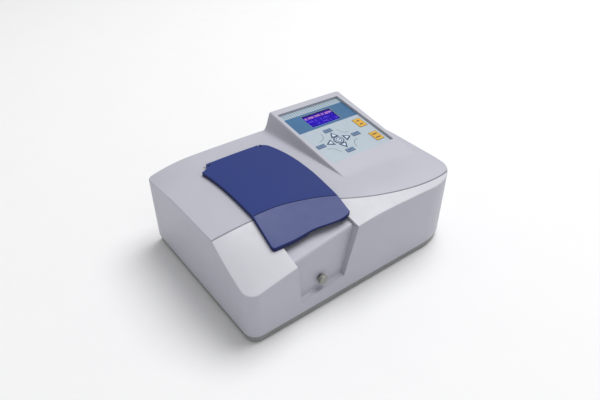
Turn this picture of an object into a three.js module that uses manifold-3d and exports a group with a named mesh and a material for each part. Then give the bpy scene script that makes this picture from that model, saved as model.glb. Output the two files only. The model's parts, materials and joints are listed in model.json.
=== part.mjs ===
// Bench-top spectrophotometer: a moulded cover on a steel pan, a hinged lid over
// a sample bay with a four-place cell carriage on a pull rod, and a sloping
// console with a display and keys. The optics, electronics and fan sit inside.
//
// Millimetres, +Z up, operator's side towards -Y. The pieces are drawn about a datum just
// ahead of the cover's middle, and the finished group is moved forward by ORIGIN_Y so that
// the origin is the centre of the overall footprint, on the bench.

import * as THREE from "three";
import { mergeVertices } from "three/addons/utils/BufferGeometryUtils.js";
import { ConvexGeometry } from "three/addons/geometries/ConvexGeometry.js";
import Module from "manifold-3d";

const wasm = await Module();
wasm.setup();

// ---------------------------------------------------------------- driving sizes

const GAP = 0.3; // clearance between pieces that rest on each other
const WALL = 3; // moulded cover wall

const ORIGIN_Y = 5.5; // centre of the footprint, knob included
const LEFT_X = -230;
const RIGHT_X = 230;
const FRONT_Y = -160;
const BACK_Y = 172;
const FOOT_HEIGHT = 3;
const PAN_TOP_Z = 15;
const COVER_BOTTOM_Z = PAN_TOP_Z + GAP;
const PAN_FLOOR_Z = 5.5;
const ABOVE_Z = 200; // clear of everything, for cuts that are open upwards

// top surface of the cover
const FLAT_Z = 151;
const CROWN = 6;
const CROWN_X = 10;
const CROWN_HALF_WIDTH = 240;
const CROWN_START_Y = -54;
const ROLL_START_Y = -89;
const ROLL_RATE = 0.0018;
const GROOVE = [
  [-232, -62.5], [-160, -61], [-112, -61.5], [-80, -68.5], [-45, -80.5], [-15, -95.5],
  [12, -110.5], [50, -126.5], [100, -139.5], [150, -145.5], [200, -143.5], [232, -134],
];
const FRONT_EDGE = [
  [-232, 97], [-207, 103.3], [-142, 116], [-22, 136.3], [31, 140.7], [95, 140],
  [140, 138.8], [232, 135],
];
const LEFT_FALL = { fromX: -142, front: 3.2, back: 12.2, facet: 6 }; // drop at the left edge
const RIGHT_FALL = { fromX: 60, front: 5.5, fromY: 5, toY: -110 }; // and at the right edge

// console: a plane that rises to the back, with drafted walls at the left and right
const CONSOLE_LEFT_X = 38.5;
const CONSOLE_Z = 161.03; // height of the plane at y = 0
const CONSOLE_RISE = 0.179;
const CONSOLE_TILT = Math.atan(CONSOLE_RISE);
const CONSOLE_FRONT_Y = -62;
const CONSOLE_RIGHT_X = { front: 209, back: 218 };
const CONSOLE_DRAFT = { front: 0.22, back: 0.34, right: 0.3 };
const PANEL = { x0: 46.5, x1: 202.5, v0: -15, v1: 158.6 };
const PANEL_RIM = { width: 2.5, lowW: -6.9 };

// sample bay
const BAY = { x0: -142, x1: -22, y0: -112, y1: 66, floorZ: 45 };
const BAY_WALL = 2;
const RECESS = [[-142, 117.5], [-135, 37], [-47, 45], [-22, 137.5]]; // (x, z) on the front
const RECESS_RIM = [[-145, 120], [-138, 34], [-44, 42], [-19, 137]]; // outside of its walls
const RECESS_PANEL_Y = -149;
const BEAM = { y: -15, z: 70 };
const CELL_PITCH = 20;
const CELL_COUNT = 4;
const CELL_SLOT = 12.8;
const ROD = { x: -91, z: 61, r: 3, bushR: 5 };
const KNOB = { tipY: -161, r: 8, length: 8, socket: 4 };

// lid
const LID_RISE = 7; // top of the lid above the cover
const LID_SKIRT = 6.4;
const LID_PLATE = 2.5;
const SCOOP = { x0: -100, x1: -36, backY: -119 }; // where the front skirt is cut away for fingers
const HINGE = { y: 115.5, z: 158.8, pinR: 1.1 };
const HINGE_EAR_X = [-136, -26];
const EAR_WIDTH = 3;

// ---------------------------------------------------------------- small helpers

const group = new THREE.Group();

const clamp01 = (t) => Math.min(1, Math.max(0, t));

function smoothStep(from, to, value) {
  const t = clamp01((value - from) / (to - from));
  return t * t * (3 - 2 * t);
}

// Smooth height through a short list of [x, value] points (cubic Hermite).
function through(points, x) {
  let i = 0;
  while (i < points.length - 2 && x > points[i + 1][0]) {
    i += 1;
  }
  const slopeAt = (k) => {
    const a = points[Math.max(0, k - 1)];
    const b = points[Math.min(points.length - 1, k + 1)];
    return (b[1] - a[1]) / (b[0] - a[0]);
  };
  const [x0, v0] = points[i];
  const [x1, v1] = points[i + 1];
  const span = x1 - x0;
  const t = clamp01((x - x0) / span);
  const bend = v0 * (1 + 2 * t) * (1 - t) ** 2 + v1 * t * t * (3 - 2 * t);
  return bend + span * (slopeAt(i) * t * (1 - t) ** 2 - slopeAt(i + 1) * t * t * (1 - t));
}

function toSolid(geometry) {
  const bare = geometry.clone();
  bare.deleteAttribute("normal");
  bare.deleteAttribute("uv");
  const merged = mergeVertices(bare, 1e-4);
  const vertProperties = new Float32Array(merged.attributes.position.array);
  const triVerts = new Uint32Array(merged.index.array);
  return new wasm.Manifold(new wasm.Mesh({ numProp: 3, vertProperties, triVerts }));
}

function toGeometry(solid) {
  const mesh = solid.getMesh();
  const geometry = new THREE.BufferGeometry();
  geometry.setAttribute("position", new THREE.BufferAttribute(mesh.vertProperties, 3));
  geometry.setIndex(new THREE.BufferAttribute(mesh.triVerts, 1));
  geometry.computeVertexNormals();
  return geometry;
}

const join = (first, ...rest) => toGeometry(rest.reduce((s, g) => s.add(toSolid(g)), toSolid(first)));
const cut = (first, ...rest) => toGeometry(rest.reduce((s, g) => s.subtract(toSolid(g)), toSolid(first)));
const common = (first, second) => toGeometry(toSolid(first).intersect(toSolid(second)));

function box(x0, x1, y0, y1, z0, z1) {
  const geometry = new THREE.BoxGeometry(x1 - x0, y1 - y0, z1 - z0);
  return geometry.translate((x0 + x1) / 2, (y0 + y1) / 2, (z0 + z1) / 2);
}

// Cylinder along "x", "y" or "z" from one coordinate to another; centre gives the other two.
function rod(axis, radius, from, to, centre, sides = 20) {
  const geometry = new THREE.CylinderGeometry(radius, radius, to - from, sides);
  const middle = (from + to) / 2;
  if (axis === "x") {
    return geometry.rotateZ(Math.PI / 2).translate(middle, centre[0], centre[1]);
  }
  if (axis === "y") {
    return geometry.translate(centre[0], middle, centre[1]);
  }
  return geometry.rotateX(Math.PI / 2).translate(centre[0], centre[1], middle);
}

function outlineOf(points) {
  return new THREE.Shape(points.map(([a, b]) => new THREE.Vector2(a, b)));
}

function prism(shape, z0, z1, curveSegments = 6) {
  const options = { depth: z1 - z0, bevelEnabled: false, curveSegments };
  return new THREE.ExtrudeGeometry(shape, options).translate(0, 0, z0);
}

// Prism of an (x, z) outline along Y.
function prismAlongY(points, y0, y1) {
  const options = { depth: y1 - y0, bevelEnabled: false };
  const geometry = new THREE.ExtrudeGeometry(outlineOf(points), options);
  return geometry.rotateX(Math.PI / 2).translate(0, y1, 0);
}

// A front outline whose first and last points are carried straight up past the top.
function openTopped(points) {
  const first = points[0];
  const last = points[points.length - 1];
  return [[first[0], ABOVE_Z], ...points, [last[0], ABOVE_Z]];
}

function range(from, to, count) {
  return Array.from({ length: count + 1 }, (_, i) => from + ((to - from) * i) / count);
}

// Closed block between two height functions. rowsAt(x) gives the y of each grid
// row at that x, so that rows can follow a curved crease.
function surfaceBlock(columns, rowsAt, low, high) {
  const rows = columns.map(rowsAt);
  const rowCount = rows[0].length;
  const positions = [];
  for (const level of [high, low]) {
    columns.forEach((x, i) => rows[i].forEach((y) => positions.push(x, y, level(x, y))));
  }
  const layer = columns.length * rowCount;
  const at = (i, j, bottom) => i * rowCount + j + (bottom ? layer : 0);
  const index = [];
  const quad = (a, b, c, d) => index.push(a, b, c, a, c, d);
  const lastColumn = columns.length - 1;
  const lastRow = rowCount - 1;
  for (let i = 0; i < lastColumn; i += 1) {
    for (let j = 0; j < lastRow; j += 1) {
      quad(at(i, j), at(i + 1, j), at(i + 1, j + 1), at(i, j + 1));
      quad(at(i, j, true), at(i, j + 1, true), at(i + 1, j + 1, true), at(i + 1, j, true));
    }
    quad(at(i, 0, true), at(i + 1, 0, true), at(i + 1, 0), at(i, 0));
    quad(at(i + 1, lastRow, true), at(i, lastRow, true), at(i, lastRow), at(i + 1, lastRow));
  }
  for (let j = 0; j < lastRow; j += 1) {
    quad(at(0, j + 1, true), at(0, j, true), at(0, j), at(0, j + 1));
    quad(at(lastColumn, j, true), at(lastColumn, j + 1, true), at(lastColumn, j + 1), at(lastColumn, j));
  }
  const geometry = new THREE.BufferGeometry();
  geometry.setAttribute("position", new THREE.Float32BufferAttribute(positions, 3));
  geometry.setIndex(index);
  return geometry;
}

const FINISH = {
  cover: { color: 0xb9bac3, roughness: 0.45, metalness: 0 },
  pan: { color: 0x6c6d70, roughness: 0.5, metalness: 0.2 },
  lid: { color: 0x38437c, roughness: 0.4, metalness: 0 },
  black: { color: 0x16171a, roughness: 0.7, metalness: 0 },
  steel: { color: 0xb4b6b8, roughness: 0.3, metalness: 1 },
  alloy: { color: 0x9a9da1, roughness: 0.45, metalness: 0.9 },
  rubber: { color: 0x1b1b1c, roughness: 0.9, metalness: 0 },
  overlay: { color: 0xc5d3de, roughness: 0.35, metalness: 0 },
  key: { color: 0x3c5f86, roughness: 0.4, metalness: 0 },
  yellow: { color: 0xe0b030, roughness: 0.4, metalness: 0 },
  glass: { color: 0x8fa0d8, roughness: 0.05, metalness: 0 },
  display: { color: 0x3a10b8, roughness: 0.2, metalness: 0 },
  board: { color: 0x1f6b45, roughness: 0.5, metalness: 0 },
};

function add(name, geometry, finish, parent = group) {
  const mesh = new THREE.Mesh(geometry, new THREE.MeshStandardMaterial(FINISH[finish]));
  mesh.name = name;
  parent.add(mesh);
  return mesh;
}

// ---------------------------------------------------------------- body surfaces

const grooveY = (x) => through(GROOVE, x);
const frontEdgeZ = (x) => through(FRONT_EDGE, x);
const consoleZ = (y) => CONSOLE_Z + CONSOLE_RISE * y;

// Share of the fall that the top has at x: none over the middle, all of it at the edge.
const leftShare = (x) => clamp01((LEFT_FALL.fromX - x) / (LEFT_FALL.fromX - LEFT_X)) ** 2;
const rightShare = (x) => clamp01((x - RIGHT_FALL.fromX) / (RIGHT_X - RIGHT_FALL.fromX)) ** 2;

function edgeFall(x, y) {
  const left = LEFT_FALL.front + (LEFT_FALL.back - LEFT_FALL.front) * smoothStep(50, BACK_Y, y);
  const { front, fromY, toY } = RIGHT_FALL;
  return left * leftShare(x) + front * clamp01((fromY - y) / (fromY - toY)) * rightShare(x);
}

function rearTopZ(x, y) {
  const across = 1 - ((x - CROWN_X) / CROWN_HALF_WIDTH) ** 2;
  const along = clamp01((y - CROWN_START_Y) / (BACK_Y - CROWN_START_Y));
  const roll = ROLL_RATE * Math.max(0, ROLL_START_Y - y) ** 2;
  return FLAT_Z + CROWN * across * along - roll - edgeFall(x, y);
}

// Top of the cover: crowned behind the groove, sloping to the front edge ahead of it.
function bodyTopZ(x, y) {
  const crease = grooveY(x);
  if (y >= crease) {
    return rearTopZ(x, y);
  }
  const t = (crease - y) / (crease - FRONT_Y);
  const sag = LEFT_FALL.facet * leftShare(x) * Math.max(0, 4 * t * (1 - t));
  return rearTopZ(x, crease) * (1 - t) + frontEdgeZ(x) * t - sag;
}

function bodyOutline(inset) {
  const x0 = LEFT_X + inset;
  const x1 = RIGHT_X - inset;
  const y0 = FRONT_Y + inset;
  const y1 = BACK_Y - inset;
  const frontLeft = 21 - inset;
  const backLeft = 10 - inset;
  const backRight = 24 - inset;
  const frontRight = { rx: 76 - inset, ry: 46 - inset };
  const quarter = Math.PI / 2;
  const shape = new THREE.Shape();
  shape.moveTo(x0 + frontLeft, y0);
  shape.lineTo(x1 - frontRight.rx, y0);
  const { rx, ry } = frontRight;
  shape.absellipse(x1 - rx, y0 + ry, rx, ry, -quarter, 0, false, 0);
  shape.lineTo(x1, y1 - backRight);
  shape.absarc(x1 - backRight, y1 - backRight, backRight, 0, quarter, false);
  shape.lineTo(x0 + backLeft, y1);
  shape.absarc(x0 + backLeft, y1 - backLeft, backLeft, quarter, 2 * quarter, false);
  shape.lineTo(x0, y0 + frontLeft);
  shape.absarc(x0 + frontLeft, y0 + frontLeft, frontLeft, 2 * quarter, 3 * quarter, false);
  return shape;
}

// Rows that share the groove as one grid line, for any x.
function bodyRows(margin) {
  return (x) => [
    ...range(FRONT_Y - margin, grooveY(x), 2),
    ...range(grooveY(x), BACK_Y + margin, 7).slice(1),
  ];
}

// Everything below the cover's top surface lowered by drop, over the whole footprint.
function underBody(drop, low = 0) {
  const columns = range(LEFT_X - 2, RIGHT_X + 2, 22);
  return surfaceBlock(columns, bodyRows(2), () => low, (x, y) => bodyTopZ(x, y) - drop);
}

// Wedge of the console, shrunk by inset on its top, walls, back and front.
function consoleWedge(inset) {
  const footZ = 135;
  const ends = [
    { y: BACK_Y - inset, draft: CONSOLE_DRAFT.back, rightX: CONSOLE_RIGHT_X.back - inset },
    { y: CONSOLE_FRONT_Y + inset, draft: CONSOLE_DRAFT.front, rightX: CONSOLE_RIGHT_X.front - inset },
  ];
  const points = ends.flatMap(({ y, draft, rightX }) => {
    const topZ = consoleZ(y) - inset;
    const leftX = CONSOLE_LEFT_X + inset;
    const leftFootX = leftX - draft * (topZ - footZ);
    const rightFootX = rightX + CONSOLE_DRAFT.right * (topZ - footZ);
    return [[leftX, y, topZ], [leftFootX, y, footZ], [rightX, y, topZ], [rightFootX, y, footZ]];
  });
  return new ConvexGeometry(points.map(([x, y, z]) => new THREE.Vector3(x, y, z)));
}

function bodySolid(inset, z0) {
  const column = prism(bodyOutline(inset), z0, 200);
  return common(column, join(underBody(inset), consoleWedge(inset)));
}

// A box given in the console plane's own axes: x, v up the slope and w outward.
function consoleBox(x0, x1, v0, v1, w0, w1) {
  return box(x0, x1, v0, v1, w0, w1).rotateX(CONSOLE_TILT).translate(0, 0, CONSOLE_Z);
}

// ---------------------------------------------------------------- cover and pan

const REAR = { x0: -196, x1: 190, z0: 24, z1: 138 };
const TROUGH = { x0: -143, x1: -19, y0: 103.5, y1: 121.5, floorZ: 152.2 };

function mainCover() {
  const shell = cut(bodySolid(0, COVER_BOTTOM_Z), bodySolid(WALL, 0));
  const { x0, x1, y0, y1, floorZ } = TROUGH;
  const pad = box(x0 - 2, x1 + 2, y0 - 2, y1 + 2, floorZ - WALL, ABOVE_Z);
  const troughPad = common(pad, underBody(0));
  const { width, lowW } = PANEL_RIM;
  const rim = consoleBox(
    PANEL.x0 - width, PANEL.x1 + width, PANEL.v0 - width, PANEL.v1 + width, lowW, -WALL / 2,
  );
  return cut(
    join(shell, troughPad, rim),
    box(x0, x1, y0, y1, floorZ, ABOVE_Z),
    prismAlongY(openTopped(RECESS), FRONT_Y - 5, BAY.y0 + 1),
    box(BAY.x0, BAY.x1, BAY.y0, BAY.y1, 100, ABOVE_Z),
    consoleBox(PANEL.x0, PANEL.x1, PANEL.v0, PANEL.v1, -30, 10),
    box(REAR.x0, REAR.x1, BACK_Y - 10, BACK_Y + 5, REAR.z0, REAR.z1),
  );
}

function basePan() {
  const tray = cut(prism(bodyOutline(2), FOOT_HEIGHT, PAN_TOP_Z), prism(bodyOutline(4), PAN_FLOOR_Z, 40));
  const slots = range(-40, 60, 5).map((y) => box(60, 130, y - 2, y + 2, 0, 10));
  return cut(tray, ...slots);
}

add("main_cover", mainCover(), "cover");
add("base_pan", basePan(), "pan");

const FOOT_RADIUS = 10;
const FEET = {
  front_left: [-195, -125],
  front_right: [170, -118],
  rear_left: [-195, 140],
  rear_right: [192, 136],
};
for (const [place, centre] of Object.entries(FEET)) {
  add(`foot_${place}`, rod("z", FOOT_RADIUS, 0, FOOT_HEIGHT - GAP, centre), "rubber");
}

// ---------------------------------------------------------------- sample bay

// Deck ahead of the bay: follows the cover's slope, a few millimetres lower.
function deckZ(x, y) {
  const across = (x - BAY.x0) / (BAY.x1 - BAY.x0);
  const frontZ = 111.3 + 20.7 * across;
  const slope = 0.25 - 0.15 * across;
  return frontZ + slope * (y - RECESS_PANEL_Y);
}

// Recess walls, floor ledge, leaning panel and deck, one moulding behind the cover's notch.
function bayFront() {
  const columns = range(BAY.x0 + GAP, BAY.x1 - GAP, 4);
  const panelBackY = RECESS_PANEL_Y + WALL;
  const endY = BAY.y0 - BAY_WALL - GAP;
  const deck = surfaceBlock(columns, () => [RECESS_PANEL_Y, endY], (x, y) => deckZ(x, y) - WALL, deckZ);
  const panel = surfaceBlock(columns, () => [RECESS_PANEL_Y, panelBackY], () => 30, deckZ);
  const rimOutline = openTopped(RECESS_RIM);
  const rimBlock = prismAlongY(rimOutline, FRONT_Y + WALL + GAP, panelBackY);
  const rim = cut(rimBlock, prismAlongY(openTopped(RECESS), FRONT_Y, panelBackY + 2));
  const rodHole = rod("y", ROD.bushR, FRONT_Y, RECESS_PANEL_Y + 9, [ROD.x, ROD.z]);
  return cut(common(join(deck, panel, rim), underBody(WALL + GAP)), rodHole);
}

function bayTub() {
  const { x0, x1, y0, y1, floorZ } = BAY;
  const w = BAY_WALL;
  const block = common(box(x0 - w, x1 + w, y0 - w, y1 + w, floorZ - w, ABOVE_Z), underBody(WALL + GAP));
  return cut(
    block,
    box(x0, x1, y0, y1, floorZ, ABOVE_Z),
    box(x0 - 9, x1 + 9, y0 - 9, y0 + 1, 108, ABOVE_Z),
    rod("x", 5, x0 - 9, x1 + 9, [BEAM.y, BEAM.z]),
    rod("y", ROD.r + 2 * GAP, y0 - 9, y0 + 9, [ROD.x, ROD.z]),
  );
}

const CARRIAGE = { halfWidth: 12, y0: BEAM.y - 12, y1: BEAM.y + 72, z0: 50, z1: 90, slotZ: 54 };
const RAIL = { offset: 8, r: 2.5, z: 50 };

function cellCarriage() {
  const { halfWidth, y0, y1, z0, z1, slotZ } = CARRIAGE;
  const half = CELL_SLOT / 2;
  const cutters = [];
  for (let i = 0; i < CELL_COUNT; i += 1) {
    const y = BEAM.y + i * CELL_PITCH;
    cutters.push(box(ROD.x - half, ROD.x + half, y - half, y + half, slotZ, z1 + 5));
    cutters.push(rod("x", 4, ROD.x - halfWidth - 5, ROD.x + halfWidth + 5, [y, BEAM.z], 12));
  }
  for (const side of [-1, 1]) {
    const x = ROD.x + side * RAIL.offset;
    cutters.push(rod("y", RAIL.r + GAP, y0 - 5, y1 + 5, [x, RAIL.z], 16));
  }
  return cut(box(ROD.x - halfWidth, ROD.x + halfWidth, y0, y1, z0, z1), ...cutters);
}

// Short disc with a blind socket for the rod in its back.
function knob() {
  const { tipY, r, length, socket } = KNOB;
  const boreR = ROD.r + 0.4;
  const profile = [
    [0, 0], [r - 1, 0], [r, 0.9], [r, length - 0.9], [r - 1, length],
    [boreR, length], [boreR, length - socket], [0, length - socket],
  ];
  const points = profile.map(([radius, height]) => new THREE.Vector2(radius, height));
  return new THREE.LatheGeometry(points, 28).translate(ROD.x, tipY, ROD.z);
}

add("bay_front_panel", bayFront(), "cover");
add("bay_tub", bayTub(), "black");
for (const [side, sign] of [["left", -1], ["right", 1]]) {
  const centre = [ROD.x + sign * RAIL.offset, RAIL.z];
  add(`carriage_rail_${side}`, rod("y", RAIL.r, BAY.y0 + GAP, BAY.y1 - GAP, centre, 14), "steel");
}
add("cell_carriage", cellCarriage(), "black");
const rodStartY = KNOB.tipY + KNOB.length - KNOB.socket + GAP;
add("pull_rod", rod("y", ROD.r, rodStartY, CARRIAGE.y0 - GAP, [ROD.x, ROD.z], 16), "steel");
add("pull_knob", knob(), "steel");
const bushY = [RECESS_PANEL_Y - 2, RECESS_PANEL_Y + 5];
const bushBore = rod("y", ROD.r + GAP, bushY[0] - 9, bushY[1] + 9, [ROD.x, ROD.z], 16);
add("rod_bush", cut(rod("y", ROD.bushR - GAP, ...bushY, [ROD.x, ROD.z]), bushBore), "black");

// ---------------------------------------------------------------- lid and hinge

// Plan of the lid, anticlockwise from the front-left corner, grown by offset.
function lidOutline(offset = 0) {
  const o = offset;
  const shape = new THREE.Shape();
  shape.moveTo(-152, -122.5 - o);
  shape.lineTo(-127, -125.6 - o);
  shape.bezierCurveTo(-106, -127 - o, -92, -125.6 - o, -78, -128.8 - o);
  shape.bezierCurveTo(-62, -132.6 - o, -50, -136.8 - o, -36, -137 - o);
  shape.quadraticCurveTo(-24, -137 - o, -17.9 + o, -133 - o);
  shape.bezierCurveTo(-13.5 + o, -85, -9 + o, -40, -4.4 + o, 13);
  shape.quadraticCurveTo(-1.5 + o, 56, -9.9 + o, 102);
  shape.quadraticCurveTo(-12 + o, 109 + o, -20, 114.4 + o);
  shape.lineTo(-24, 118 + o);
  shape.quadraticCurveTo(-80, 119.6 + o, -132, 117.9 + o);
  shape.lineTo(-139, 112.5 + o);
  shape.lineTo(-144.2 - o, 103.8 + o);
  shape.lineTo(-156.8 - o, 98.5);
  shape.bezierCurveTo(-149.5 - o, 45, -149.8 - o, -2, -159.6 - o, -117);
  shape.quadraticCurveTo(-159 - o, -122.2 - o, -152, -122.5 - o);
  return shape;
}

// Layer between two heights above the body's top, wider and longer than the lid.
function lidLayer(low, high) {
  const columns = range(-166, 4, 9);
  const rows = (x) => [...range(-150, grooveY(x), 3), ...range(grooveY(x), 130, 6).slice(1)];
  return surfaceBlock(columns, rows, (x, y) => bodyTopZ(x, y) + low, (x, y) => bodyTopZ(x, y) + high);
}

function lidShell() {
  const skirtLow = LID_RISE - LID_SKIRT;
  const slab = common(prism(lidOutline(), 90, ABOVE_Z, 5), lidLayer(skirtLow, LID_RISE));
  const underPlate = lidLayer(-20, LID_RISE - LID_PLATE);
  const pocketPlan = common(prism(lidOutline(-4), 90, ABOVE_Z, 4), box(-170, 10, -150, 100, 90, ABOVE_Z));
  const pocket = common(pocketPlan, underPlate);
  const scoop = common(box(SCOOP.x0, SCOOP.x1, -150, SCOOP.backY, 90, ABOVE_Z), underPlate);
  const earSlots = HINGE_EAR_X.map((x) => box(x - 2, x + 2, HINGE.y - 8, HINGE.y + 11, 140, ABOVE_Z));
  const pinHole = rod("x", HINGE.pinR + GAP, -170, 10, [HINGE.y, HINGE.z], 12);
  return cut(slab, pocket, scoop, ...earSlots, pinHole);
}

// Black light trap under the lid: a rim that drops into the bay.
function lightSeal() {
  const clear = 4;
  const { x0, x1, y0, y1 } = BAY;
  const outer = box(x0 + clear, x1 - clear, y0 + clear, y1 - clear, 90, ABOVE_Z);
  const inner = box(x0 + 9, x1 - 9, y0 + 9, y1 - 9, 90, ABOVE_Z);
  const top = LID_RISE - LID_PLATE - GAP;
  return common(cut(outer, inner), lidLayer(-7, top));
}

// Ear that stands in the hinge trough and carries the pin.
function hingeEar(x) {
  const half = EAR_WIDTH / 2;
  const foot = box(x - half, x + half, HINGE.y - 6, HINGE.y + 4, TROUGH.floorZ + GAP, HINGE.z);
  const eye = rod("x", 3, x - half, x + half, [HINGE.y, HINGE.z], 16);
  return cut(join(foot, eye), rod("x", HINGE.pinR + GAP, x - 5, x + 5, [HINGE.y, HINGE.z], 12));
}

add("lid", lidShell(), "lid");
add("lid_light_seal", lightSeal(), "black");
add("hinge_ear_left", hingeEar(HINGE_EAR_X[0]), "cover");
add("hinge_ear_right", hingeEar(HINGE_EAR_X[1]), "cover");
add("hinge_pin", rod("x", HINGE.pinR, -139, -23, [HINGE.y, HINGE.z], 12), "steel");

// ---------------------------------------------------------------- console

const consolePlane = new THREE.Group();
consolePlane.position.z = CONSOLE_Z;
consolePlane.rotation.x = CONSOLE_TILT;
group.add(consolePlane);

const OVERLAY_W = { low: -6.9, high: -5 };
const KEY_W = { low: -6.2, high: -4.5 };
const PANE_W = { low: -6.8, high: -5.2 };
const PLATE_W = { low: -8.8, high: -7.2 };
const WINDOW = { x0: 88.5, x1: 162.5, v0: 95.3, v1: 136.4 };
const KEYPAD = { x: 108, v: 38.8 };
const ARROW_REACH = 9; // centre to tip

// Plan of each key in the console plane.
function rectKey(x, v, width, height) {
  return outlineOf([
    [x - width / 2, v - height / 2], [x + width / 2, v - height / 2],
    [x + width / 2, v + height / 2], [x - width / 2, v + height / 2],
  ]);
}

function arrowKey(x, v, angle) {
  const corners = [0, 1, 2].map((i) => angle + (i * 2 * Math.PI) / 3);
  return outlineOf(corners.map((a) => [x + ARROW_REACH * Math.cos(a), v + ARROW_REACH * Math.sin(a)]));
}

function roundKey(x, v, radius) {
  return new THREE.Shape().absarc(x, v, radius, 0, 2 * Math.PI, false);
}

const KEYS = {
  key_enter: roundKey(KEYPAD.x, KEYPAD.v, 10.5),
  key_up: arrowKey(KEYPAD.x, KEYPAD.v + 16, Math.PI / 2),
  key_down: arrowKey(KEYPAD.x, KEYPAD.v - 16, -Math.PI / 2),
  key_left: arrowKey(KEYPAD.x - 20, KEYPAD.v, Math.PI),
  key_right: arrowKey(KEYPAD.x + 20, KEYPAD.v, 0),
  key_function_top: rectKey(KEYPAD.x, 73, 19, 9.6),
  key_function_bottom: rectKey(KEYPAD.x, 4.5, 19, 9.6),
  key_function_left: rectKey(64, KEYPAD.v, 19, 9.6),
  key_function_right: rectKey(152, KEYPAD.v, 19, 9.6),
  key_start: rectKey(185, 64, 20, 27),
  key_stop: rectKey(185, 14, 20, 27),
};

const keyBody = (shape) => prism(shape, KEY_W.low, KEY_W.high, 5);

// The hole in the overlay: the key's plan grown by a clearance on every side.
function keyHole(shape) {
  const [low, high] = [KEY_W.low - 3, KEY_W.high + 3];
  const options = {
    depth: high - low,
    curveSegments: 5,
    bevelEnabled: true,
    bevelSegments: 1,
    bevelThickness: 0.01,
    bevelSize: GAP + 0.05,
  };
  return new THREE.ExtrudeGeometry(shape, options).translate(0, 0, low);
}

function overlayPlate() {
  const { x0, x1, v0, v1 } = PANEL;
  const clear = 0.4;
  const plate = box(x0 + clear, x1 - clear, v0 + clear, v1 - clear, OVERLAY_W.low, OVERLAY_W.high);
  const window = box(WINDOW.x0, WINDOW.x1, WINDOW.v0, WINDOW.v1, -20, 10);
  return cut(plate, window, ...Object.values(KEYS).map(keyHole));
}

function backPlate() {
  const plate = box(PANEL.x0 - 2, PANEL.x1 + 5, PANEL.v0 - 5, PANEL.v1 + 5, PLATE_W.low, PLATE_W.high);
  return cut(plate, box(WINDOW.x0 - 6, WINDOW.x1 + 6, WINDOW.v0 - 6, WINDOW.v1 + 6, -20, 0));
}

function displayModule() {
  const can = box(WINDOW.x0 - 5, WINDOW.x1 + 5, WINDOW.v0 - 5, WINDOW.v1 + 5, -13.6, PLATE_W.high);
  const board = box(WINDOW.x0 - 8, WINDOW.x1 + 8, WINDOW.v0 - 10, WINDOW.v1 + 10, -15.6, -13.5);
  return join(can, board);
}

add("keypad_overlay", overlayPlate(), "overlay", consolePlane);
add("keypad_backplate", backPlate(), "alloy", consolePlane);
add("display_module", displayModule(), "display", consolePlane);
const pane = box(
  WINDOW.x0 + GAP, WINDOW.x1 - GAP, WINDOW.v0 + GAP, WINDOW.v1 - GAP, PANE_W.low, PANE_W.high,
);
add("display_window", pane, "glass", consolePlane);
for (const [name, shape] of Object.entries(KEYS)) {
  const finish = name === "key_start" || name === "key_stop" ? "yellow" : "key";
  add(name, keyBody(shape), finish, consolePlane);
}

// ---------------------------------------------------------------- rear panel

const SHEET = { y0: 165.7, y1: 167.7 };
const INLET = { x: -165, z: 60, halfWidth: 14, halfHeight: 11 };
const FUSE = { x: -165, z: 84, halfWidth: 9, halfHeight: 6 };
const SWITCH = { x: -165, z: 108, halfWidth: 8, halfHeight: 11 };
const PORT = { x: -60, z: 60, halfWidth: 10, halfHeight: 6 };
const FAN = { x: 130, z: 80, size: 60, boreR: 28, hubR: 10, barHalf: 29 };

// Box centred on a rear fitting in X and Z, its half-sizes grown by grow.
function about({ x, z, halfWidth, halfHeight }, grow, y0, y1) {
  const [halfX, halfZ] = [halfWidth + grow, halfHeight + grow];
  return box(x - halfX, x + halfX, y0, y1, z - halfZ, z + halfZ);
}

function rearSheet() {
  const [before, behind] = [SHEET.y0 - 5, SHEET.y1 + 5];
  const plate = box(REAR.x0 - 5, REAR.x1 + 5, SHEET.y0, SHEET.y1, PAN_FLOOR_Z + GAP, REAR.z1 + 5);
  const openings = [INLET, FUSE, SWITCH, PORT].map((fitting) => about(fitting, 0, before, behind));
  const vents = range(-20, 70, 9).map((x) => box(x - 2, x + 2, before, behind, 90, 122));
  const fanHole = rod("y", FAN.boreR - 1, before, behind, [FAN.x, FAN.z], 28);
  return cut(plate, ...openings, fanHole, ...vents);
}

// Mains inlet: a cup open to the back with three blades.
function powerInlet() {
  const cup = about(INLET, -GAP, 146, 169);
  const flange = about(INLET, 4, SHEET.y1 + GAP, 171);
  const hollow = about(INLET, -2.2, 152, 175);
  const blades = [[-7, -2], [7, -2], [0, 3]].map(([dx, dz]) => {
    const [x, z] = [INLET.x + dx, INLET.z + dz];
    return box(x - 1, x + 1, 151, SHEET.y0 - 0.2, z - 2, z + 2);
  });
  return join(cut(join(cup, flange), hollow), ...blades);
}

// Fuse drawer: a pocket open upwards behind a finger-grip face.
function fuseDrawer() {
  const drawer = about(FUSE, -0.5, 150, 170);
  const face = about(FUSE, 1.3, SHEET.y1 + GAP, 171);
  const pocket = box(FUSE.x - 3, FUSE.x + 3, 152, 163, FUSE.z - 3, FUSE.z + 9);
  return cut(join(drawer, face), pocket);
}

function switchFrame() {
  const sleeve = about(SWITCH, -GAP, 152, 169);
  const flange = about(SWITCH, 2, SHEET.y1 + GAP, 170.6);
  return cut(join(sleeve, flange), about(SWITCH, -2, 154, 175));
}

// Rocker, modelled pressed at its upper end; it turns about an X axis.
const ROCKER = { y: 165, tilt: 9 };
function rocker() {
  const block = new THREE.BoxGeometry(11, 6, 16).translate(0, 2.2, 0);
  const dish = new THREE.CylinderGeometry(26, 26, 20, 24).rotateZ(Math.PI / 2).translate(0, 29.8, 0);
  const body = cut(block, dish);
  return body.rotateX(THREE.MathUtils.degToRad(ROCKER.tilt)).translate(SWITCH.x, ROCKER.y, SWITCH.z);
}

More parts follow.
